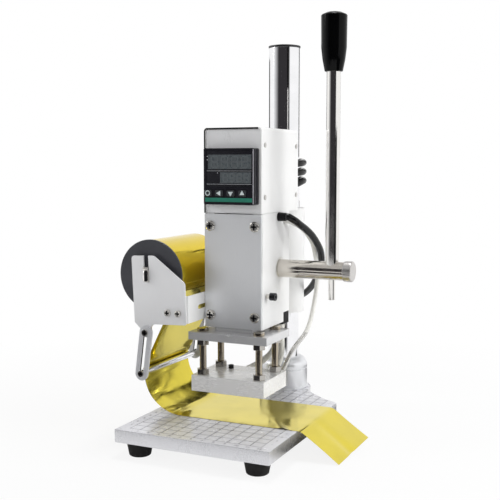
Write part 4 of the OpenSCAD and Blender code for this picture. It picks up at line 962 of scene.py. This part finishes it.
class FOIL_PRESS_OT_controller(bpy.types.Operator):
    """Builds the display windows, digits, rules, lamps, strip, key signs and a painted highlight
    down the bezel's right edge
    """

    bl_idname = "foil_press.controller"
    bl_label = "Controller face"

    # Shares of the bezel, from its left and its top: left, top, right, bottom
    windows = (0.088, 0.113, 0.94, 0.369), (0.324, 0.423, 0.932, 0.619)
    figures = (0.12, 0.15, 0.91, 0.335), (0.36, 0.452, 0.905, 0.59)
    rules = (0.06, 0.397, 0.94, 0.403), (0.06, 0.633, 0.94, 0.639)
    lamp_spots, lamp = ((0.062, 0.135), (0.062, 0.195), (0.265, 0.43)), (0.018, 0.016)
    # The green strip, then a pale line at the bezel's right edge: a painted highlight
    strip, side_line = (0.03, 0.878, 0.955, 0.95), (0.968, 0.015, 0.984, 0.985)
    # Millimetres in front of the bezel, or behind its front
    trim_proud, lamp_proud, figure_proud, pane_proud, pane_deep = 0.05, -0.18, -0.19, -0.2, 0.15
    # Shares: a figure's half width of its pitch, its bars of the half width and half height
    figure_share, flat_share, upright_share = 0.30, 0.82, 0.44
    # Metres, but the arrow's rounded edge in millimetres
    bar, bar_deep = 0.00042, 0.00005
    ring_r, ring_wire, arrow_r, arrow_deep = 0.0019, 0.00045, 0.0026, 0.0005
    arrow_edge, arrow_turns = 0.08, {"shift": math.pi / 2, "down": math.pi, "up": 0}

    def execute(self, context):
        colours = context.scene.press_colours
        low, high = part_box("controller_bezel")
        self.left, self.top = low.x, high.z
        self.width, self.height = high.x - low.x, high.z - low.z
        self.face = low.y
        window = printed("display_window", tuple(colours.window), 0.3)
        digit = printed("display_digit", scaled(colours.window, 1.3), 0.35)
        pale = printed("pale_print", (0.42, 0.43, 0.45))
        white = printed("key_sign", (0.62, 0.70, 0.70))
        green = printed("strip_green", tuple(colours.strip), 0.4)

        panes = [self.pane(*share, self.pane_proud) for share in self.windows]
        self.ride("display_panes", panes, window)
        digits = [bar for share in self.figures for bar in self.digits(*share)]
        self.ride("display_digits", digits, digit)
        rules = [self.pane(*share, self.pane_proud) for share in self.rules]
        wide, high = self.lamp
        lamps = [self.pane(u, v, u + wide, v + high, self.lamp_proud) for u, v in self.lamp_spots]
        self.ride("controller_rules", rules + lamps, pale)
        self.ride("controller_strip", [self.pane(*self.strip, self.trim_proud)], green)
        # Painted highlight: a pale line where the bezel's rounded right edge catches the light
        self.ride(
            "controller_edge", [self.pane(*self.side_line, self.trim_proud)],
            printed("edge_line", (0.50, 0.49, 0.53), 0.3))
        for key in ("set", "shift", "down", "up"):
            self.sign(key, white)
        return {"FINISHED"}

    def spot(self, u, v, proud):
        """A point of the bezel's front by its share from the left and from the top."""
        return Vector((
            self.left + u * self.width, self.face - proud * MM, self.top - v * self.height))

    def pane(self, u0, v0, u1, v1, proud):
        """A thin rectangle, raised from the bezel or sunk in its window."""
        return block("pane", self.spot(u0, v1, proud), self.spot(u1, v0, proud - self.pane_deep))

    @staticmethod
    def ride(name, pieces, finish, body="head"):
        """Joins the pieces, paints them and lets them ride."""
        piece = join(name, pieces)
        paint(piece, finish)
        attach(piece, body)

    def digits(self, u0, v0, u1, v1):
        """Four unlit figures of seven bars each."""
        pieces, pitch = [], (u1 - u0) / 4
        for number in range(4):
            centre = self.spot(u0 + pitch * (number + 0.5), (v0 + v1) / 2, self.figure_proud)
            half_w, half_h = pitch * self.width * self.figure_share, (v1 - v0) * self.height / 2
            for x, z, flat in SEGMENTS:
                place = centre + Vector((x * half_w, 0, z * half_h))
                reach = Vector((
                    half_w * self.flat_share if flat else self.bar, self.bar_deep,
                    self.bar if flat else half_h * self.upright_share))
                pieces.append(block("bar", place - reach, place + reach))
        return pieces

    def sign(self, key, finish):
        """A raised sign on a key: a ring for setting, arrows for the others."""
        centre = front_middle("key_" + key)
        clear_selection()
        if key == "set":
            bpy.ops.mesh.primitive_torus_add(
                major_radius=self.ring_r, minor_radius=self.ring_wire, major_segments=28,
                minor_segments=8, location=centre, rotation=(math.pi / 2, 0, 0))
            piece = settle(name_piece("key_set_sign"))
        else:
            turn = self.arrow_turns[key]
            bpy.ops.mesh.primitive_cylinder_add(
                vertices=3, radius=self.arrow_r, depth=self.arrow_deep, location=centre,
                rotation=(math.pi / 2, 0, 0))
            piece = settle(name_piece(f"key_{key}_sign"))
            spin = Matrix.Translation(centre) @ Matrix.Rotation(-turn, 4, "Y")
            piece.data.transform(spin @ Matrix.Translation(-centre))
            soften(piece, self.arrow_edge)
        self.ride(piece.name, [piece], finish, f"key_{key}_body")


# Table numbers

class FOIL_PRESS_OT_numbers(bpy.types.Operator):
    """Prints the numbers along the table's front and side edges"""

    bl_idname = "foil_press.numbers"
    bl_label = "Table numbers"

    # Millimetres: where the front row starts and runs, where the side rows start and run
    front_x, front_y, side_y, side_x = -60, -76.6, -72.5, (-64.6, 64.6)
    pitch, proud = 10, 0.04
    count, side_share, ink_half = 12, 0.85, 0.02 * MM

    def execute(self, context):
        height = context.scene.press_sizes.number_height
        steps = [(n, n * self.pitch) for n in range(1, self.count + 1)]
        pieces = [
            self.number(n, at(self.front_x + step, self.front_y, self.proud), height)
            for n, step in steps]
        pieces += [
            self.number(n, at(x, self.side_y + step, self.proud), height * self.side_share)
            for n, step in steps for x in self.side_x]
        marks = join("table_numbers", pieces)
        paint(marks, printed("number_print", tuple(context.scene.press_colours.print_ink)))
        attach(marks, "base")
        return {"FINISHED"}

    def number(self, value, place, height):
        """One number as a thin mesh on the table."""
        clear_selection()
        bpy.ops.object.text_add(location=(0, 0, 0))
        text = bpy.context.active_object
        text.data.body = str(value)
        text.data.size = height
        text.data.align_x, text.data.align_y = "CENTER", "CENTER"
        text.data.extrude = self.ink_half
        text.data.resolution_u = 3
        bpy.ops.object.convert(target="MESH")
        piece = bpy.context.active_object
        piece.location = place
        return settle(piece)


# Studio

CAMERA_PLACE = (0.32963, -0.71575, 0.2435)
CAMERA_TURN = (84.39, 0, 24.83)
CAMERA_LENS = 63.87


class FOIL_PRESS_OT_studio(bpy.types.Operator):
    """Sets the camera, the pale floor, the soft lights and the dark reflector cards"""

    bl_idname = "foil_press.studio"
    bl_label = "Studio"

    # Place, aim, size, power and whether mirrors show it
    lights = {
        "right_soft": ((1.2, 0.2, 0.6), (0, 0.03, 0.15), 0.9, 12.4),
        "left_soft": ((-1.2, -0.5, 0.8), (0, 0, 0.15), 0.5, 4.5, True),
        "top_soft": ((0.0, 0.2, 1.5), (0, 0, 0.1), 0.36, 8, True),
        "front_soft": ((0.4, -1.6, 0.9), (0, 0, 0.15), 1.2, 8.5),
    }
    # Distance, bearings of both ends, top edge, shares that fade in and out
    curved_cards = {
        "front_card": (1.35, -62, 66, 1.0, 0.31, 0.05),
        "low_card": (0.24, -62, 70, 0.085, 0.1, 0.1),
        "left_flag": (1.0, -141, -113, 0.45, 0.2, 0.2),
    }
    # Two corners and glow
    flat_cards = {
        "floor_card": ((-0.3, -0.275, 0.001), (0.35, -0.185, 0.0015)),
        "floor_strip": ((-0.35, -0.42, 0.001), (0.4, -0.35, 0.0015)),
        "rear_floor_card": ((-0.12, 0.206, 0.001), (0.2, 0.3, 0.0015)),
        "side_floor_card": ((0.064, -0.045, 0.001), (0.09, 0.12, 0.0015)),
        "rear_card": ((-0.15, 0.25, 0.152), (0.02, 0.2505, 0.2)),
        "side_card": ((0.42, -0.25, 0.03), (0.421, -0.01, 0.285)),
        "right_flag": ((0.035, 0.25, 0.25), (0.085, 0.2505, 0.43)),
        "ceiling_card": ((-2, -2, 1.6), (2, 2, 1.601), 0.5),
    }
    card_pale, card_dark = (0.85, 0.85, 0.86), (0.035, 0.033, 0.036)

    def execute(self, context):
        self.camera(context)
        self.floor()
        self.world(context)
        for make, table in (
                (self.light, self.lights), (self.curved_card, self.curved_cards),
                (self.flat_card, self.flat_cards)):
            for name, values in table.items():
                make(name, *values)
        context.scene.view_settings.view_transform = "Standard"
        return {"FINISHED"}

    @staticmethod
    def camera(context):
        """The photograph's camera."""
        data = bpy.data.cameras.new("photo_camera")
        data.lens, data.sensor_width, data.sensor_fit = CAMERA_LENS, 36, "HORIZONTAL"
        data.clip_start, data.clip_end = 0.01, 50
        camera = bpy.data.objects.new("photo_camera", data)
        camera.location = CAMERA_PLACE
        camera.rotation_euler = [math.radians(angle) for angle in CAMERA_TURN]
        context.scene.collection.objects.link(camera)
        context.scene.camera = camera

    @staticmethod
    def floor():
        """A pale floor that looks white far out and dimmer near the press."""
        clear_selection()
        bpy.ops.mesh.primitive_circle_add(
            vertices=96, radius=6, fill_type="NGON", location=(0, 0, -0.0002))
        floor = settle(name_piece("studio_floor"))
        made = Finish("studio_floor", (0.82, 0.82, 0.82), 0.9)
        made.shade(0.01, made.cloud(3))
        glow = made.add("ShaderNodeEmission", {"Strength": 1.0})
        reach = made.add("ShaderNodeVectorMath", {0: made.coords}, operation="LENGTH")
        path = made.add("ShaderNodeLightPath").outputs
        mirrored = made.math("MAXIMUM", path["Is Glossy Ray"], path["Is Transmission Ray"])
        plain = made.span(reach.outputs["Value"], 0.86, 1.0, (0.15, 0.5))
        dimmer = made.span(reach.outputs["Value"], 0.2, 1.0, (0.16, 0.5))
        glows = made.math(
            "MAXIMUM", made.math("MULTIPLY", path["Is Camera Ray"], plain),
            made.math("MULTIPLY", mirrored, dimmer))
        mix = made.add("ShaderNodeMixShader", {
            "Fac": glows, 1: made.shader.outputs["BSDF"], 2: glow.outputs["Emission"]})
        made.show(mix.outputs["Shader"])
        paint(floor, made.material)

    @staticmethod
    def world(context):
        """Soft light all round, which looks plain white in the picture and in mirrors."""
        world = bpy.data.worlds.new("studio_world")
        world.use_nodes = True
        context.scene.world = world
        tree = world.node_tree
        tree.nodes.clear()
        path = add_node(tree, "ShaderNodeLightPath").outputs
        seen = path["Is Camera Ray"]
        for name in ("Is Glossy Ray", "Is Transmission Ray"):
            seen = add_node(
                tree, "ShaderNodeMath", {0: seen, 1: path[name]}, operation="MAXIMUM").outputs[0]
        soft, plain = (
            add_node(tree, "ShaderNodeBackground", {"Color": shade, "Strength": strength})
            for shade, strength in (((0.98, 0.99, 1.0, 1), 0.25), ((1, 1, 1, 1), 1.0)))
        mix = add_node(tree, "ShaderNodeMixShader", {
            "Fac": seen, 1: soft.outputs["Background"], 2: plain.outputs["Background"]})
        add_node(tree, "ShaderNodeOutputWorld", {"Surface": mix.outputs["Shader"]})

    @staticmethod
    def light(name, place, aim, size, power, mirrored=False):
        """A round soft light."""
        data = bpy.data.lights.new(name, "AREA")
        data.shape, data.size, data.energy = "DISK", size, power
        lamp = bpy.data.objects.new(name, data)
        lamp.location = place
        lamp.rotation_euler = (Vector(aim) - Vector(place)).to_track_quat("-Z", "Y").to_euler()
        lamp.visible_camera, lamp.visible_glossy = False, mirrored
        bpy.context.scene.collection.objects.link(lamp)

    def curved_card(self, name, distance, start, end, top, fade_in, fade_out):
        """A dark card that stands round the press from one bearing to another, for reflections."""
        clear_selection()
        start, end = math.radians(start), math.radians(end)
        bpy.ops.mesh.primitive_plane_add(size=1, location=(0, 0, 0))
        piece = name_piece(name)
        with editing(piece):
            bpy.ops.mesh.delete(type="ONLY_FACE")
        foot = Vector((distance * math.sin(start), -distance * math.cos(start), 0))
        for vertex, rise in zip(piece.data.vertices, (0, 0, top, top)):
            vertex.co = foot + Vector((0, 0, rise))
        with editing(piece):
            bpy.ops.mesh.remove_doubles(threshold=1e-5)
            bpy.ops.mesh.spin(steps=24, angle=start - end, center=(0, 0, 0), axis=(0, 0, 1))
        made = Finish(name, (0.02, 0.02, 0.02), 0.9)
        behind = made.math("MULTIPLY", made.axis("Y"), -1.0)
        bearing = made.math("ARCTAN2", made.axis("X"), behind)
        shade = made.tint(made.span(bearing, 0, 1, (start, end)), [
            (0, self.card_pale), (fade_in, self.card_dark),
            (1 - fade_out, self.card_dark), (1, self.card_pale)])
        made.show(made.add("ShaderNodeEmission", {"Color": shade}).outputs["Emission"])
        paint(piece, made.material)
        hide_but_mirrored(piece)

    @staticmethod
    def flat_card(name, low, high, glow=0.0):
        """A flat card, dark or dim, for reflections."""
        piece = block(name, low, high)
        made = Finish(name, (0.012, 0.012, 0.013), 0.8, shine=0.1, glow=glow)
        made.shade(0.1, made.cloud(8, 2))
        paint(piece, made.material)
        hide_but_mirrored(piece)


def hide_but_mirrored(piece):
    """Leaves a card of the stage to reflections only."""
    piece.visible_camera = piece.visible_diffuse = piece.visible_shadow = False
    piece.visible_transmission = False


class FOIL_PRESS_PT_panel(bpy.types.Panel):
    """Lists the settings and the steps"""

    bl_idname = "FOIL_PRESS_PT_panel"
    bl_label = "Foil Press"
    bl_space_type = "VIEW_3D"
    bl_region_type = "UI"
    bl_category = "Foil Press"

    def draw(self, context):
        for group in (context.scene.press_sizes, context.scene.press_colours):
            box = self.layout.box()
            for name in group.__annotations__:
                box.prop(group, name)
        for step in STEPS:
            self.layout.operator(step.bl_idname)


STEPS = (
    FOIL_PRESS_OT_studio, FOIL_PRESS_OT_leads, FOIL_PRESS_OT_foil, FOIL_PRESS_OT_finishes,
    FOIL_PRESS_OT_fasteners, FOIL_PRESS_OT_controller, FOIL_PRESS_OT_numbers,
)
CLASSES = (PressSizes, PressColours, *STEPS, FOIL_PRESS_PT_panel)


def register():
    for made in CLASSES:
        bpy.utils.register_class(made)
    bpy.types.Scene.press_sizes = PointerProperty(type=PressSizes)
    bpy.types.Scene.press_colours = PointerProperty(type=PressColours)


def unregister():
    del bpy.types.Scene.press_sizes
    del bpy.types.Scene.press_colours
    for made in reversed(CLASSES):
        bpy.utils.unregister_class(made)


def main():
    register()
    bpy.ops.foil_press.studio()
    bpy.ops.foil_press.leads()
    bpy.ops.foil_press.foil()
    bpy.ops.foil_press.finishes()
    bpy.ops.foil_press.fasteners()
    bpy.ops.foil_press.controller()
    bpy.ops.foil_press.numbers()
    clear_selection()


if __name__ == "__main__":
    main()
